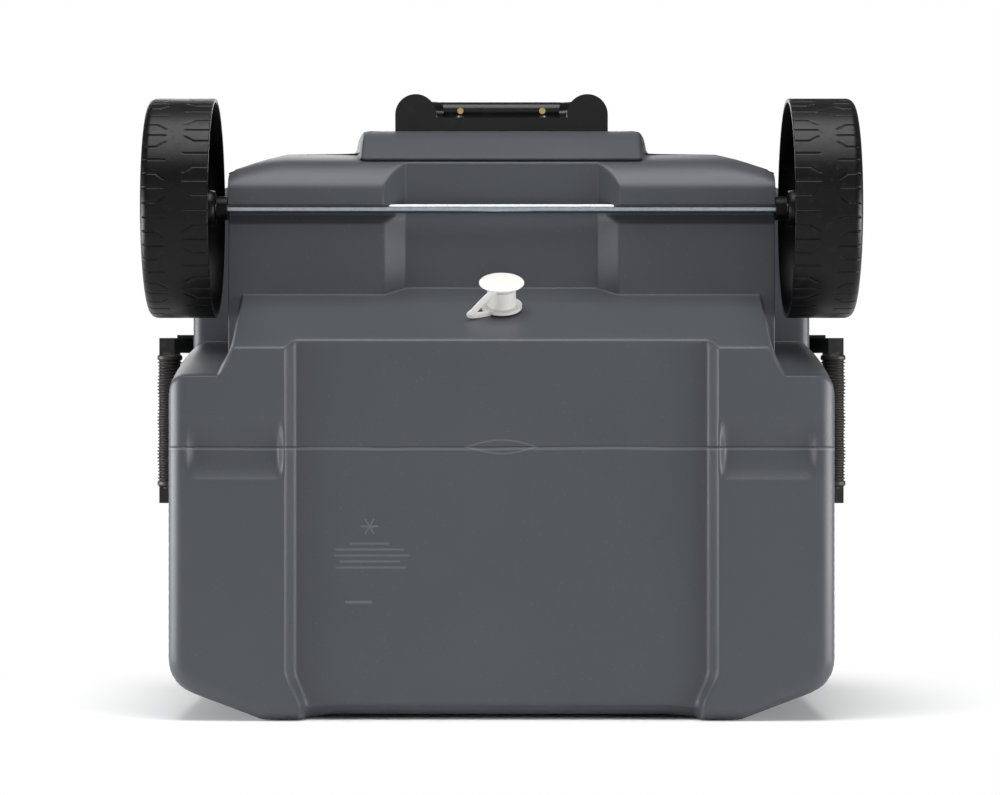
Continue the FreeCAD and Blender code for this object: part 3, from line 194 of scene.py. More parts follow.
# %% Heights
def underside(x, y):
    """The height of the skin: the feet and panel, against the slanted wall, which stops at the panel over
    the axle, the channel or the wheel well, plus a rounded rim."""
    ax = np.abs(x)
    inward = ease((-230 - y) / 33)
    step = ease((ax - (167 - 9 * inward)) / (11 - 4 * inward))
    foot = 13 * (1 - step)
    lip = ease((-y - 262) / 3.5) * (1 - step)
    foot = foot + 2.6 * lip
    along = np.where(y > -48.8, (-22.8 - y) / 26, 1 - ((y + 48.8) / 27) ** 2)
    valley = 8 * np.clip(along, 0, 1) * ease((ax - 176) / 8) * (1 - ease((ax - 249) / 11))
    foot = foot + valley

    side = ease((ax - 217) / 15)
    corner = np.clip(ax - 258, 0, 14)
    base = 32.2 - 22.7 * side - (14 - np.sqrt(196 - corner ** 2))
    run = 0.493 + (0.125 - 0.493) * side
    wall = (y - base) / run
    bowed = np.interp(y - base, [-60, 0, 9, 19, 25, 29, 32, 80], [-480, 0, 45, 110, 160, 205, 260, 1100])
    wall = wall + (bowed - wall) * side

    line = np.linspace(-300, 260, 5601)
    behind_ledge = np.interp(line, [-300, 168, 180, 190, 196, 200.2, 240], [82, 82, 91, 103, 120, 150, 300])
    soften = np.hanning(181)
    behind_ledge = np.convolve(np.pad(behind_ledge, 90, mode="edge"), soften / soften.sum(), mode="valid")
    before_ledge = np.interp(line, [-300, 137, 145, 260], [92, 92, 97.5, 97.5])
    ledge = ease((line - 151.2) / 1.6)
    profile = np.interp(y, line, before_ledge * (1 - ledge) + behind_ledge * ledge) + 0.0 * ax
    steep = 0.694 + 0.49 * ease((y - 140) / 12)
    channel = lower(104.5 + 0 * ax, 104.5 - steep * (ax - 80.6), 0.8)
    behind = np.interp(y, [-300, 192.7, 220.3, 240], [-40, 104.5, 150, 170])
    roof_mid = higher(profile, channel, 0.8)
    roof_mid = np.where(y > 192.7, lower(roof_mid, behind + 60 * ease((ax - 117) / 12), 3), roof_mid)
    well_side = (ax - 228) / 5.0 * 235
    roof = higher(roof_mid, np.minimum(well_side, 235), 8)
    skin_height = higher(foot, lower(wall, roof, 2 + 10 * side), 4 + 6 * side)

    away = to_edge(ax, y)
    radius = 14 - 5 * ease((skin_height - 60) / 120)
    bend = np.clip(radius - away, 0, None)
    return skin_height + radius - np.sqrt(np.clip(radius ** 2 - bend ** 2, 0, None))

# %% Shell skin
ROW_MARKS = [FRONT, -268, -263, -231, -75, -23, 10, 32.2, 38.6, 78, 84, 137, 145, 152, 170, 192.7, FLAT_BACK, 219]
rows = packed(FRONT, BULGE_BACK, 285, ROW_MARKS, 0.7, 3.2, 11)
half_columns = packed(0, HALF, 144, [80.6, 98.7, 113, 167, 178, 218, 229, 233, 271], 0.8, 3.6, 12)
columns = np.concatenate([-half_columns[::-1], half_columns[1:]])
width = half_width(rows)
fixed = np.minimum(237, width - 6)
ax = np.abs(columns)[None, :]
squeezed = fixed[:, None] + (ax - fixed[:, None]) * ((width - fixed) / (HALF - fixed))[:, None]
grid_x = np.sign(columns)[None, :] * np.where(ax > fixed[:, None], squeezed, ax)
grid_y = np.broadcast_to(rows[:, None], grid_x.shape)
grid_z = underside(grid_x, grid_y)
recess = 3.0 * (1 - ease((np.abs(grid_x) - 134) / 36)) * ease((-235 - grid_y) / 33)
under_points = np.stack([grid_x, grid_y + recess, grid_z], -1)



def grid_faces(number):
    """The four-sided faces between the numbered points of a grid."""
    return np.stack([number[:-1, :-1], number[1:, :-1], number[1:, 1:], number[:-1, 1:]], -1).reshape(-1, 4)


def around_edge(grid):
    """What lies along a grid's edge, once round."""
    return np.concatenate([grid[0, :-1], grid[:-1, -1], grid[-1, :0:-1], grid[:0:-1, 0]])


ring = around_edge(under_points)
levels = np.array([0.0, 0.01, 0.03, 0.1, 0.3, 0.6, 0.9, 0.985, 1.0])
skirt = np.stack([np.stack([ring[:, 0], ring[:, 1], ring[:, 2] + (RIM_TOP - ring[:, 2]) * t], -1) for t in levels])
WALL, HALF_DEPTH = 3.2, 246
rim = skirt[-1] * (1 - WALL / HALF, 1 - WALL / HALF_DEPTH, 1)
skirt = np.concatenate([skirt, rim[None], (rim - (0, 0, 12))[None]])
n, m = under_points.shape[:2]
count = n * m
number = np.arange(count).reshape(n, m)
under_faces = grid_faces(number)
skirt_number = count + np.arange((len(skirt) - 1) * len(ring)).reshape(len(skirt) - 1, -1)
skirt_number = np.concatenate([around_edge(number)[None], skirt_number])
after = np.roll(skirt_number, -1, 1)
skirt_faces = np.stack([skirt_number[:-1], after[:-1], after[1:], skirt_number[1:]], -1).reshape(-1, 4)
shell_points = np.concatenate([under_points.reshape(-1, 3), skirt[1:].reshape(-1, 3)])
shell = solid_of("shell_skin", shell_points, np.concatenate([under_faces, skirt_faces]).tolist(), "cooler_body")
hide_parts("outer_shell")

# %% [markdown]
# Foam fills the space between the skin and the liner. It takes the skin's own surface, moved in by more
# than the wall's thickness, and is hollow where the liner stands.

# %% Foam
def foam_points(step_rows, step_columns):
    """The underside's grid, thinned out and drawn in at the outline, each point raised 6 mm over the
    highest place within 15 mm of it, so that it stays inside steep walls too."""
    thin = under_points[::step_rows, ::step_columns].copy()
    thin[..., 0] *= 1 - 14 / HALF
    thin[..., 1] = -25.6 + (thin[..., 1] + 25.6) * (1 - 16 / 246)
    shifts = [(15 * math.cos(a), 15 * math.sin(a)) for a in np.linspace(0, 2 * np.pi, 12, endpoint=False)] + [(0, 0)]
    around = [
        underside(np.clip(thin[..., 0] + dx, -268, 268), np.clip(thin[..., 1] + dy, FRONT + 3, BULGE_BACK - 2))
        for dx, dy in shifts
    ]
    thin[..., 2] = np.minimum(np.max(around, axis=0) + 6, 400)
    return thin


foam_low = foam_points(4, 3)
foam_top = foam_low.copy()
HOLLOW_HALF, HOLLOW_FRONT, HOLLOW_BACK = 240, -240, 168
in_hollow = (np.abs(foam_low[..., 0]) < HOLLOW_HALF) & (foam_low[..., 1] > HOLLOW_FRONT)
in_hollow = in_hollow & (foam_low[..., 1] < HOLLOW_BACK)
foam_top[..., 2] = np.where(in_hollow, foam_low[..., 2] + 5, 433.0)
n, m = foam_low.shape[:2]
number = np.arange(n * m).reshape(n, m)
low_faces = grid_faces(number)
foam_ring = around_edge(number)
foam_next = np.roll(foam_ring, -1)
side_faces = np.stack([foam_ring, foam_next, foam_next + n * m, foam_ring + n * m], -1)
foam_faces = np.concatenate([low_faces, side_faces, (low_faces + n * m)[:, ::-1]]).tolist()
foam = solid_of("foam_fill", np.concatenate([foam_low.reshape(-1, 3), foam_top.reshape(-1, 3)]), foam_faces, "cooler_body")
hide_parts("foam_core")

# %% [markdown]
# ## The wheels
# Each wheel is one black moulding, open towards the cooler, with a hub held by ribs and a tread of thin
# hooked slots on both shoulders and a smooth band between.
# The section is turned round the axle. The tread needs far more points than the rest, so it is a band of
# its own, and a slot is a small drop in its radius.

# %% Wheel sections
AXLE_Y, AXLE_Z, WHEEL_R = 150.3, 92.0, 92.0
IN_X, OUT_X = 239.3, 295.0


def turned(section, turns, drop=None):
    """A section of (distance out, radius) pairs carried round the axle: Y is the radius times the cosine, Z
    the radius times the sine."""
    angle = np.linspace(0, 2 * np.pi, turns, endpoint=False)
    radius = np.broadcast_to(section[None, :, 1], (turns, len(section))).copy()
    if drop is not None:
        radius -= drop
    x = np.broadcast_to(section[None, :, 0], radius.shape)
    return np.stack([x, AXLE_Y + radius * np.cos(angle)[:, None], AXLE_Z + radius * np.sin(angle)[:, None]], -1)


def slots(turns, across):
    """The depth of the tread slots: along each shoulder a slot runs straight, then turns towards the
    middle, and its depth falls off with the distance from its centre line. Every second slot hooks, one way
    and then the other, and those between are straight."""
    pitch = 2 * np.pi * WHEEL_R / 48
    arc = (np.linspace(0, 2 * np.pi, turns, endpoint=False) * WHEEL_R)[:, None]
    depth = np.zeros((turns, len(across)))
    for near, far, offset in ((IN_X + 0.2, 260.5, 0.0), (292.5, 274.8, 0.5)):
        along = ((across - near) / (far - near))[None, :]
        on = (along > 0) * (along < 1)
        for shift in (-1, 0, 1):
            index = np.floor(arc / pitch + offset) + shift
            turn = np.choose((index % 4).astype(int), [1, 0, -1, 0])
            middle = (index + 0.5 - offset) * pitch + turn * np.clip((along - 0.6) / 0.4, 0, 1) * 5.5
            depth = np.maximum(depth, on * (1 - ease((np.abs(arc - middle) - 0.25) / 0.5)))
    return 0.9 * depth


SHOULDER = 7
bend = np.linspace(0.1, 1, 10) * np.pi / 2
flat = np.linspace(239.9, OUT_X - SHOULDER, 40)
across = np.concatenate([[IN_X, 239.35], flat, OUT_X - SHOULDER + SHOULDER * np.sin(bend)])
tread_r = np.concatenate([[90.0, 91.4], np.full(40, WHEEL_R), WHEEL_R - SHOULDER * (1 - np.cos(bend))])
band = np.concatenate([np.stack([across, tread_r], -1), [(292.2, 87.3), (286.0, 90.6), (242.0, 90.6)]])
# The section: bore and hub, the outer disc, and the rim under the tread.
section = np.array([
    (240.2, 4.15), (240.0, 5.5), (240.0, 13), (240.8, 14.6), (245, 15.6), (276, 16.4), (281, 18.5),
    (283.6, 23), (284.1, 30), (284.1, 78), (283.2, 84.5), (279, 88.0), (262, 88.3), (240.1, 88.5),
    (239.4, 89.0), (239.3, 90.0), (242, 90.4), (286, 90.4), (292, 87), (294.9, 85), (294.6, 82),
    (291.6, 78), (291.2, 64), (290.4, 60.5), (287.5, 60), (287.5, 22), (288.6, 17), (291, 14),
    (294.2, 13), (294.9, 11.8), (294.9, 4.3),
], float)


RIBS, RIB_FOOT = 10, 284.6


def ribs(side):
    """Ten flat ribs from hub to rim inside the open wheel: each is a thin plate whose free edge drops in a
    curve from the hub to the rim."""
    along = np.linspace(0, 1, 12)
    places, faces = [], []
    for number in range(RIBS):
        angle = 2 * np.pi * (number + 0.5) / RIBS
        radial, across_rib = np.array([np.cos(angle), np.sin(angle)]), np.array([-np.sin(angle), np.cos(angle)])
        r = 15 + (88 - 15) * along
        free = 247 + 27 * ease(along * 1.15)
        start = len(places)
        for thick in (-1.3, 1.3):
            for radius, edge_x in zip(r, free):
                spot = radial * radius + across_rib * thick
                places += [(side * x, AXLE_Y + spot[0], AXLE_Z + spot[1]) for x in (edge_x, RIB_FOOT)]
        for k in range(11):
            a, b = start + 2 * k, start + 24 + 2 * k
            faces += [(a, a + 2, a + 3, a + 1), (b, b + 1, b + 3, b + 2)]
            faces += [(a, b, b + 2, a + 2), (a + 1, a + 3, b + 3, b + 1)]
        a, b = start, start + 24
        faces += [(a, a + 1, b + 1, b), (a + 22, b + 22, b + 23, a + 23)]
    return np.array(places), faces

# %% Wheels
TREAD_TURNS = 1152
wheel_pieces = []
for side, word in ((-1, "left"), (1, "right")):
    mirror = np.array([side, 1, 1])
    body = word + "_wheel_set"
    cut = np.pad(slots(TREAD_TURNS, across), ((0, 0), (0, 3)))
    tread = skin(word + "_tread", turned(band, TREAD_TURNS, cut) * mirror, body, wrap_u=True, wrap_v=True, flip=side < 0)
    core = skin(word + "_wheel_core", turned(section, 160) * mirror, body, wrap_u=True, wrap_v=True, flip=side < 0)
    places, faces = ribs(side)
    inner = solid_of(word + "_wheel_ribs", places, faces if side > 0 else [f[::-1] for f in faces], body)
    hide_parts(word + "_wheel")
    for piece in (tread, core, inner):
        wheel_pieces.append(piece)

# %% [markdown]
# ## Side handles
# A swinging handle is a black U-shaped bar with a ribbed grip. The bar could be bevelled boxes, but its
# corners are smooth bends. The grip is an oval carried along its length, and its radius goes up and down
# along it for the ribs.

# %% Side handle grips
def grip_points(side):
    """An oval carried along Y whose half sizes swell slightly for the fingers and rise 0.7 mm on each rib,
    with ribs every 3 mm except at the ends."""
    low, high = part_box(("left" if side < 0 else "right") + "_handle_grip")
    low, high = np.array(low) * 1000, np.array(high) * 1000
    along = np.linspace(0, 1, 320)
    y = low[1] + (high[1] - low[1]) * along
    rib = 0.5 + 0.5 * np.cos(2 * np.pi * (y - low[1]) / 3.03)
    plain = np.minimum(ease((along - 0.04) / 0.02), ease((0.96 - along) / 0.02))
    fingers = 0.6 * np.cos(2 * np.pi * along * 4)
    ends = np.sqrt(np.clip(1 - (1 - np.minimum(along, 1 - along) / 0.03).clip(0) ** 2, 0, 1))
    drop = 1.7 * (1 - rib ** 1.5) * plain + 0.4 - 0.5 * fingers * plain
    centre = (low + high) / 2
    angle = np.linspace(0, 2 * np.pi, 48, endpoint=False)
    c, s = np.cos(angle), np.sin(angle)
    wide = (high[2] - low[2]) / 2 * 0.98
    deep = (high[0] - low[0]) / 2 * 0.93
    a = (deep - drop)[:, None] * ends[:, None].clip(0.72)
    b = (wide - drop)[:, None] * ends[:, None].clip(0.72)
    x = centre[0] + a * np.sign(c) * np.abs(c) ** 0.8
    z = centre[2] + b * np.sign(s) * np.abs(s) ** 0.8
    return np.stack([x, np.broadcast_to(y[:, None], x.shape), z], -1)


for side, word in ((-1, "left"), (1, "right")):
    piece = skin(word + "_ribbed_grip", grip_points(side), word + "_side_handle", wrap_v=True, caps=True)
    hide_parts(word + "_handle_grip")

# %% [markdown]
# ## Drain
# A white cap sits on a short neck over a flange. It is a turned piece, so a profile is carried round the
# drain's slanting axis.

# %% Drain pieces
DRAIN = np.array([0, 65.2, 67.0])
OUT = np.array([0, math.cos(math.radians(26.24)), -math.sin(math.radians(26.24))])
ACROSS = np.array([1.0, 0, 0])
UPWARD = np.cross(ACROSS, OUT)


def round_drain(profile, turns=96):
    """Profile pairs of (distance out along the axis, radius), carried round the drain's axis."""
    profile = np.array(profile, float)
    angle = np.linspace(0, 2 * np.pi, turns, endpoint=False)
    ring_way = np.cos(angle)[:, None, None] * ACROSS + np.sin(angle)[:, None, None] * UPWARD
    return DRAIN + profile[None, :, :1] * OUT + profile[None, :, 1:] * ring_way


# The cap from its face inwards: disc, rounded edge, underside, neck and plug.
CAP = [
    (24.9, 0.0), (25.3, 9), (25.3, 16.8), (25.0, 18.1), (24.3, 18.75), (23.5, 18.7), (23.0, 18.0), (22.7, 16.0),
    (22.3, 13.0), (21.6, 12.1), (18.5, 12.0), (18.4, 8.8), (12.4, 8.6), (12.0, 7.9), (11.9, 0.0),
]
cap = skin("drain_cap_turned", round_drain(CAP), "drain_cap_set", wrap_u=True)
welded = bmesh.new()
welded.from_mesh(cap.data)
bmesh.ops.remove_doubles(welded, verts=welded.verts, dist=1e-6)
welded.to_mesh(cap.data)
welded.free()
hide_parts("drain_cap")

# %% [markdown]
# A thin strap keeps the pulled cap with the cooler; the real one bends when the cap comes out. A flat
# oval is carried along its loop.

# %% Tether strap
def through(points, count):
    """A smooth line through the points: between each two, a cubic whose slope at a point is half the step
    between its neighbours."""
    p = np.array(points, float)
    p = np.concatenate([2 * p[:1] - p[1:2], p, 2 * p[-1:] - p[-2:-1]])
    t = np.linspace(0, len(p) - 3 - 1e-9, count)
    k = t.astype(int)
    f = (t - k)[:, None]
    a, b, c, d = p[k], p[k + 1], p[k + 2], p[k + 3]
    return 0.5 * (2 * b + (c - a) * f + (2 * a - 5 * b + 4 * c - d) * f ** 2 + (3 * b - a - 3 * c + d) * f ** 3)


def carried(path, wide, thick, up, turns=20):
    """An oval carried along a path: its width lies across the path and the up direction, its thickness
    along what is left."""
    way = np.gradient(path, axis=0)
    way /= np.linalg.norm(way, axis=1)[:, None]
    across_way = np.cross(np.broadcast_to(up, way.shape), way)
    across_way /= np.linalg.norm(across_way, axis=1)[:, None]
    other = np.cross(way, across_way)
    angle = np.linspace(0, 2 * np.pi, turns, endpoint=False)
    c, s = np.cos(angle), np.sin(angle)
    c, s = np.sign(c) * np.abs(c) ** 0.5, np.sign(s) * np.abs(s) ** 0.5
    side_step = c[None, :, None] * across_way[:, None] * wide / 2
    return path[:, None] + side_step + s[None, :, None] * other[:, None] * thick / 2


# Each point of the strap: how far to the side, out along the drain's axis, and upward.
STRAP = [
    (8.0, 2.0, -12.0), (14.0, 2.3, -15.0), (21.5, 3.0, -18.8), (26.4, 4.4, -20.8),
    (22.6, 7.6, -19.6), (15.8, 14.4, -17.0), (9.3, 20.6, -15.6), (5.5, 23.6, -15.6),
]
strap_path = through([DRAIN + x * ACROSS + o * OUT + u * UPWARD for x, o, u in STRAP], 90)
strap = skin("drain_strap", carried(strap_path, 5.2, 1.6, UPWARD), None, wrap_v=True, caps=True, flip=True)
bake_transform(strap)
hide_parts("drain_tether")

# %% [markdown]
# A small spring sits under the release button; the real one shortens as the button goes in. Here a wire
# is carried along a fixed coil in its place.

# %% Button spring
COILS, WIRE = 4, 0.6
low, high = (np.array(corner) * 1000 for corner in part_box("release_spring"))
middle_x, middle_y = (low[0] + high[0]) / 2, (low[1] + high[1]) / 2
coil = np.linspace(0, COILS * 2 * np.pi, 140)
coil_radius = (high[0] - low[0]) / 2 - 0.3
climb = np.linspace(low[2] + 0.35, high[2] - 0.35, 140)
spring_path = np.stack([middle_x + coil_radius * np.cos(coil), middle_y + coil_radius * np.sin(coil), climb], -1)
wire_points = carried(spring_path, WIRE, WIRE, np.array([0, 0, 1.0]), 12)
spring = skin("button_spring", wire_points, None, wrap_v=True, caps=True, flip=True)
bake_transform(spring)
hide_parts("release_spring")

# %% [markdown]
# ## Finishes
# Every finish is worked out from the surface's own coordinates. One class stands for an output of a
# material's nodes, so shader maths reads as ordinary sums.

# %% Shader maths
class Wire:
    """One output of a node. Sums with numbers or other wires add Math nodes."""

    def __init__(self, finish, socket):
        self.finish, self.socket = finish, socket

    def maths(self, operation, *values):
        return self.finish.node("ShaderNodeMath", {"operation": operation}, *values)

    def __add__(self, other): return self.maths("ADD", self, other)
    def __radd__(self, other): return self.maths("ADD", other, self)
    def __sub__(self, other): return self.maths("SUBTRACT", self, other)
    def __rsub__(self, other): return self.maths("SUBTRACT", other, self)
    def __mul__(self, other): return self.maths("MULTIPLY", self, other)
    def __rmul__(self, other): return self.maths("MULTIPLY", other, self)
    def __abs__(self): return self.maths("ABSOLUTE", self)

    def below(self, edge, soft):
        """1 where the value is well below the edge, 0 above it, and a smooth change over soft."""
        smooth = {"interpolation_type": "SMOOTHSTEP"}
        return self.finish.node("ShaderNodeMapRange", smooth, self, edge - soft, edge + soft, 1.0, 0.0)

    def between(self, low, high, soft):
        return self.below(high, soft) * (1 - self.below(low, soft))


class Finish:
    """A material with one Principled shader, whose constants are set on its sockets."""

    def __init__(self, name, **constants):
        self.material = bpy.data.materials.new(name)
        self.material.use_nodes = True
        self.tree = self.material.node_tree
        self.shader = self.tree.nodes["Principled BSDF"]
        for socket, value in constants.items():
            self.shader.inputs[socket.replace("_", " ")].default_value = value

    def node(self, kind, settings=None, *values, out=0, **named):
        item = self.tree.nodes.new(kind)
        for key, value in (settings or {}).items():
            setattr(item, key, value)
        for key, value in list(enumerate(values)) + [(k.replace("_", " "), v) for k, v in named.items()]:
            if isinstance(value, Wire):
                self.tree.links.new(value.socket, item.inputs[key])
            elif value is not None:
                item.inputs[key].default_value = value
        return Wire(self, item.outputs[out])

    def mix(self, factor, a, b):
        """Colour a where the factor is 0 and colour b where it is 1."""
        return self.node("ShaderNodeMix", {"data_type": "RGBA"}, factor, None, None, None, None, None, a, b, out=2)

    def place(self, scale=(1, 1, 1)):
        where = self.node("ShaderNodeTexCoord", out=3)
        return self.node("ShaderNodeMapping", {}, where, None, None, scale)

    def noise(self, scale, detail=3.0, stretch=(1, 1, 1), roughness=0.5):
        where = self.place(stretch)
        return self.node("ShaderNodeTexNoise", None, Vector=where, Scale=scale, Detail=detail, Roughness=roughness)

    def axes(self):
        """X, Y and Z in millimetres."""
        split = self.tree.nodes.new("ShaderNodeSeparateXYZ")
        self.tree.links.new(self.place((1000, 1000, 1000)).socket, split.inputs[0])
        return [Wire(self, output) for output in split.outputs]

    def feed(self, bump=None, bump_size=0.001, **sockets):
        """Links what varies to the shader. A bump's height is in units of bump_size metres."""
        for socket, wire in sockets.items():
            self.tree.links.new(wire.socket, self.shader.inputs[socket.replace("_", " ")])
        if bump is not None:
            normal = self.node("ShaderNodeBump", {}, Strength=1.0, Distance=bump_size, Height=bump)
            self.tree.links.new(normal.socket, self.shader.inputs["Normal"])
        return self.material


def linear(red, green, blue):
    """Screen values from 0 to 255, as the linear colour that a shader takes."""
    c = np.array([red, green, blue]) / 255
    c = np.where(c <= 0.04045, c / 12.92, ((c + 0.055) / 1.055) ** 2.4)
    return (*c.tolist(), 1.0)

# %% [markdown]
# ### Grey shell plastic
# Blow-moulded polyethylene has a fine satin grain and cloudy changes of shine. The two mould halves meet
# in a parting line over the underside, with flow marks where the pinched tube closed. The parting line's
# groove is painted darker as shade, most in the middle, and a thin line just in front of it is painted
# lighter as a highlight on its lip.
# A generic frost mark and plain bars stand on the sunken panel.

# %% Grey plastic
def grey_plastic(name, underside_marks):
    finish = Finish(name, IOR=1.46, Specular_IOR_Level=0.38)
    cloud = finish.noise(9.0, 4.0)
    grain = finish.noise(1500.0, 2.0)
    pull = finish.noise(38.0, 3.0, (0.25, 1.6, 1.0))
    speck = finish.noise(420.0, 4.0, roughness=0.7)
    tint = finish.mix(cloud, linear(65, 68, 73), linear(72, 75, 80))
    tint = finish.mix(speck.between(0.66, 2.0, 0.04) * 0.35, tint, linear(104, 108, 113))
    height = grain * 0.035 + pull * 0.10 + cloud * 0.25
    rough = 0.33 + 0.12 * cloud + 0.05 * pull
    if underside_marks:
        x, y, z = finish.axes()
        wander = finish.noise(14.0, 2.0) - 0.5
        line = abs(y + 48.8 + wander * 2.2)
        low = z.below(60.0, 6.0)
        # The parting line's groove: a dent in the bump, and painted shade in the colour, darker in the middle.
        seam_groove_and_shade = line.below(0.55, 0.4) * low
        arch = (x * 0.055).maths("COSINE", x * 0.055)
        swirl = abs(abs(y + 48.8) - 5.5 * arch).below(0.55, 0.6) * abs(x).below(40.0, 8.0) * low
        # A thin line just in front of the parting line: a slight ridge in the bump, and a painted highlight on its
        # lip in the colour.
        rim = abs(y + 50.6 + wander * 2.2).below(0.8, 0.7) * low
        # Painted shade along the parting line's groove, strongest in the middle.
        tint = finish.mix(seam_groove_and_shade * (0.35 + 0.4 * abs(x).below(70.0, 60.0)), tint, linear(40, 43, 47))
        # Painted highlight on the lip in front of the parting line, sharing one lighter colour with the flow marks.
        tint = finish.mix(rim * 0.22 + swirl * 0.2, tint, linear(150, 154, 158))
        u, v = x - 108.0, y + 114.0
        arms = abs(v).below(0.7, 0.35)
        for turn in (60, 120):
            slant = math.radians(turn)
            arms = arms.maths("MAXIMUM", arms, abs(u * math.sin(slant) - v * math.cos(slant)).below(0.7, 0.35))
        disc = (u * u + v * v).below(50.0, 4.0)
        raised = arms * disc
        for row, (centre, half) in enumerate(((108, 16), (108, 28), (106, 31), (108, 25), (107, 29))):
            bar = abs(y + 128.0 + 4.9 * row).below(0.85, 0.35) * abs(x - centre).below(float(half), 0.5)
            raised = raised + bar * 0.8
        raised = raised + abs(y + 176.0).below(1.1, 0.35) * abs(x - 117.0).below(11.0, 0.5)
        raised = raised * low
        tint = finish.mix(raised * 0.22, tint, linear(138, 142, 147))
        height = height - seam_groove_and_shade * 0.5 + rim * 0.12 + swirl * 0.25 + raised * 0.4
    return finish.feed(Base_Color=tint, Roughness=rough, bump=height)


finishes = {"shell": grey_plastic("grey_shell_plastic", True), "lid": grey_plastic("grey_lid_plastic", False)}

# %% [markdown]
# ### Black, white and metal
# The other parts are moulded or plated. They share one recipe: a cloudy colour change, a fine grain in
# the bump, and roughness that rises where the part is handled.

# %% Other finishes
def moulded(name, dark, light, rough, rough_change, grain, grain_size, cloud=14.0, metal=0.0, stretch=(1, 1, 1), shine=0.5):
    """Colour runs from dark to light with a cloud; the bump is fine grain and faint cloud; roughness
    follows both."""
    finish = Finish(name, Metallic=metal, IOR=1.48, Specular_IOR_Level=shine)
    broad, fine = finish.noise(cloud, 4.0), finish.noise(grain, 3.0, stretch)
    scuff = finish.noise(cloud * 7, 5.0, roughness=0.7).between(0.6, 2.0, 0.06)
    tint = finish.mix(broad, linear(*dark), linear(*light))
    tint = finish.mix(scuff * 0.25, tint, linear(*[min(255, v + 26) for v in light]))
    shine_change = rough + rough_change * (broad - 0.5) + scuff * 0.12
    return finish.feed(Base_Color=tint, Roughness=shine_change, bump=fine * grain_size + broad * 0.15)


def zinc(name, dark, light, rough):
    """Plated steel: spangles of slightly different brightness, and faint drawn lines along X."""
    finish = Finish(name, Metallic=1.0)
    cells = finish.node("ShaderNodeTexVoronoi", {}, Vector=finish.place(), Scale=260.0, out=0)
    lines = finish.noise(900.0, 3.0, (0.05, 1, 1))
    tint = finish.mix(cells * 0.6, linear(*dark), linear(*light))
    return finish.feed(Base_Color=tint, Roughness=rough + 0.06 * lines, bump=lines * 0.004)


finishes.update({
    "foam": moulded("cream_foam", (214, 196, 150), (232, 218, 178), 0.9, 0.1, 700.0, 0.5),
    "liner": moulded("white_liner_plastic", (224, 226, 226), (238, 239, 238), 0.34, 0.12, 1300.0, 0.03),
    "wheel": moulded("black_wheel_plastic", (4, 4, 5), (9, 9, 10), 0.36, 0.16, 1200.0, 0.03, cloud=22.0, shine=0.22),
    "black": moulded("black_satin_plastic", (12, 12, 13), (20, 20, 21), 0.40, 0.12, 1100.0, 0.04, shine=0.3),
    "gloss": moulded("black_gloss_plastic", (7, 8, 10), (11, 12, 15), 0.30, 0.08, 1400.0, 0.02, shine=0.35),
    "rubber": moulded("black_grip_rubber", (19, 16, 14), (31, 26, 23), 0.50, 0.12, 1500.0, 0.05),
    "drain": moulded("white_drain_plastic", (222, 219, 215), (233, 231, 228), 0.38, 0.10, 1300.0, 0.03),
    "tube": moulded("black_anodised_tube", (26, 26, 28), (38, 38, 41), 0.30, 0.08, 1500.0, 0.03, metal=0.6, stretch=(1, 1, 0.03)),
    "zinc": zinc("zinc_plated_steel", (150, 158, 167), (176, 184, 192), 0.25),
    "brass": zinc("yellow_plated_steel", (176, 150, 92), (214, 194, 140), 0.30),
})
USE = {
    "lid": ["lid_shell"], "foam": ["lid_foam"], "liner": ["inner_liner", "lid_liner"],
    "wheel": ["left_wheel_cover", "right_wheel_cover", "axle_spacers"],
    "black": [
        "handle_lower_bracket", "handle_upper_bracket", "left_handle_bail", "right_handle_bail",
        "left_handle_mount", "right_handle_mount", "middle_collars", "release_button",
    ],
    "gloss": ["handle_yoke", "grip_sleeve"], "rubber": ["lid_gasket", "drain_gasket"],
    "drain": ["drain_spout", "drain_nut"], "tube": ["guide_tubes", "middle_tubes", "inner_tubes"],
    "zinc": [
        "axle_rod", "axle_push_nuts", "bracket_screws", "left_handle_pins",
        "right_handle_pins", "handle_mount_screws", "hinge_body_leaves", "hinge_lid_leaves",
        "hinge_pins", "hinge_body_screws", "hinge_lid_screws",
    ],
    "brass": ["yoke_screws"],
}


def wear(piece, key):
    piece.data.materials.clear()
    piece.data.materials.append(finishes[key])


for key, names in USE.items():
    for name in names:
        wear(nodes[name], key)
hidden = {
    "outer_shell", "foam_core", "left_wheel", "right_wheel", "left_handle_grip",
    "right_handle_grip", "drain_cap", "drain_tether", "release_spring",
}
print("nodes without a finish:", sorted(set(nodes) - {n for names in USE.values() for n in names} - hidden))
for name in hidden:
    wear(nodes[name], "black")
wear(shell, "shell")
wear(foam, "foam")
for piece in wheel_pieces:
    wear(piece, "wheel")
for word in ("left", "right"):
    wear(bpy.data.objects[word + "_ribbed_grip"], "rubber")
wear(cap, "drain")
wear(strap, "drain")
wear(spring, "zinc")

# %% [markdown]
# ## Floor, light and camera
# The cooler lies on its front on a pale floor with soft light from above and both sides. The floor lets
# the camera through from behind, so it never hides the object.

# %% Floor
def floor_finish():
    finish = Finish("pale_floor", Roughness=0.9)
    grain = finish.noise(6.0, 2.0)
    tint = finish.mix(grain, linear(250, 250, 250), linear(253, 253, 253))
    finish.feed(Base_Color=tint)
    x, y, z = finish.axes()
    # Away from the cooler the floor glows white with emission, a painted glow that fades its cast shadow out; near
    # the cooler it takes the lamps' light and shadow.
    far = 1 - (x * x * 0.7 + (z - 150) * (z - 150)).below(150000.0, 90000.0)
    white = finish.node("ShaderNodeEmission")
    lit_or_glowing = finish.node("ShaderNodeMixShader", {}, far, Wire(finish, finish.shader.outputs[0]), white)
    clear = finish.node("ShaderNodeBsdfTransparent")
    behind = finish.node("ShaderNodeNewGeometry", out="Backfacing")
    both = finish.node("ShaderNodeMixShader", {}, behind, lit_or_glowing, clear)
    finish.tree.links.new(both.socket, finish.tree.nodes["Material Output"].inputs["Surface"])
    return finish.material


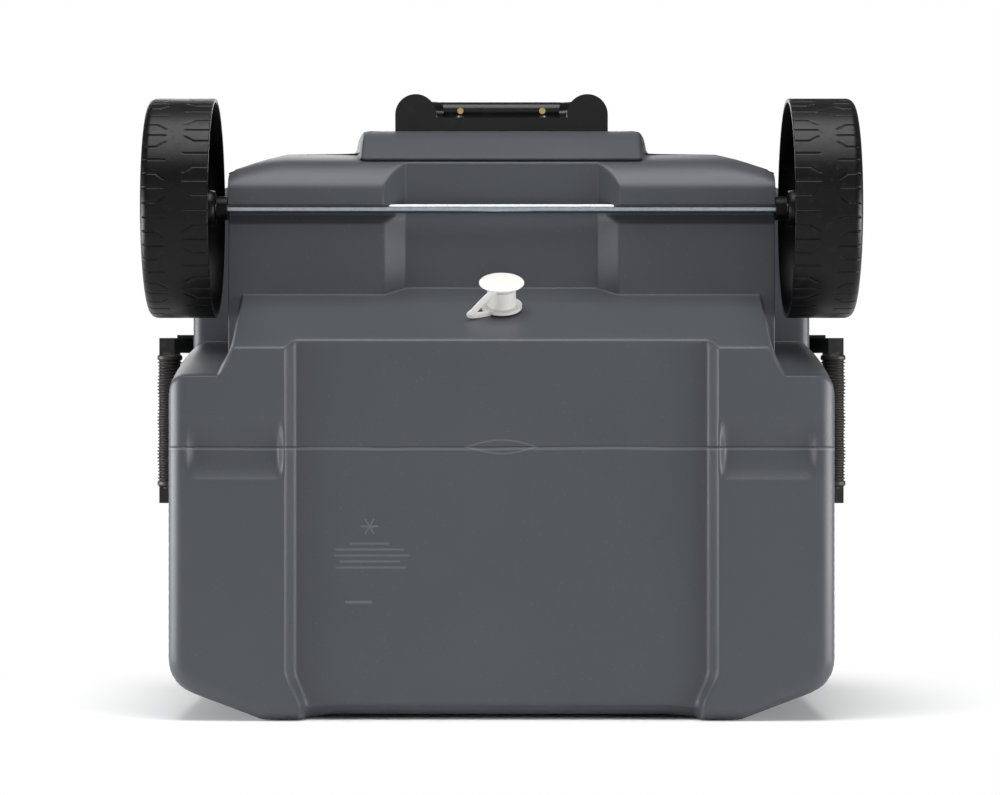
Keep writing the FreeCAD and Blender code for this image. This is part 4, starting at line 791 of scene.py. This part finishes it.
mesh = bpy.data.meshes.new("floor")
mesh.from_pydata([(-3, -0.2722, -2.2), (-3, -0.2722, 4.0), (3, -0.2722, 4.0), (3, -0.2722, -2.2)], [], [(0, 1, 2, 3)])
floor = bpy.data.objects.new("floor", mesh)
bpy.context.scene.collection.objects.link(floor)
mesh.materials.append(floor_finish())

# %% World and lamps
scene = bpy.context.scene
world = bpy.data.worlds.new("studio")
scene.world = world
world.use_nodes = True
world.node_tree.nodes["Background"].inputs["Color"].default_value = (1, 1, 1, 1)
sky = world.node_tree.nodes["Background"]
seen = world.node_tree.nodes.new("ShaderNodeLightPath")
strength = world.node_tree.nodes.new("ShaderNodeMapRange")
strength.inputs["To Min"].default_value, strength.inputs["To Max"].default_value = 0.15, 1.0
world.node_tree.links.new(seen.outputs["Is Camera Ray"], strength.inputs["Value"])
world.node_tree.links.new(strength.outputs["Result"], sky.inputs["Strength"])
scene.view_settings.view_transform = "Standard"


def softbox(name, place, aim, width, height, watts):
    """A soft rectangular lamp at a place in metres, facing the aim."""
    lamp = bpy.data.lights.new(name, "AREA")
    lamp.shape, lamp.size, lamp.size_y, lamp.energy = "RECTANGLE", width, height, watts
    item = bpy.data.objects.new(name, lamp)
    scene.collection.objects.link(item)
    item.location = place
    item.rotation_euler = (Vector(aim) - Vector(place)).to_track_quat("-Z", "Y").to_euler()


softbox("over", (0.0, 1.7, -0.28), (0, 0, 0.1), 1.5, 1.3, 37)
softbox("left_side", (1.5, -0.05, -0.02), (0.2, 0, 0.1), 0.5, 1.3, 30)
softbox("right_side", (-1.5, -0.05, -0.2), (-0.2, 0, 0.1), 0.5, 1.3, 26)
softbox("below", (0.0, 0.5, -2.2), (0, 0, 0), 1.2, 1.2, 5)
softbox("above_lid", (0.3, 0.6, 2.4), (0, 0, 0.3), 1.4, 1.4, 18)

# %% Camera
camera = bpy.data.objects.new("camera", bpy.data.cameras.new("camera"))
scene.collection.objects.link(camera)
camera.data.lens, camera.data.sensor_width = 124.7, 36.0
camera.location = (0.0013, -0.0085, -2.818)
camera.rotation_euler = (0.0, math.pi, 0.0)
scene.camera = camera
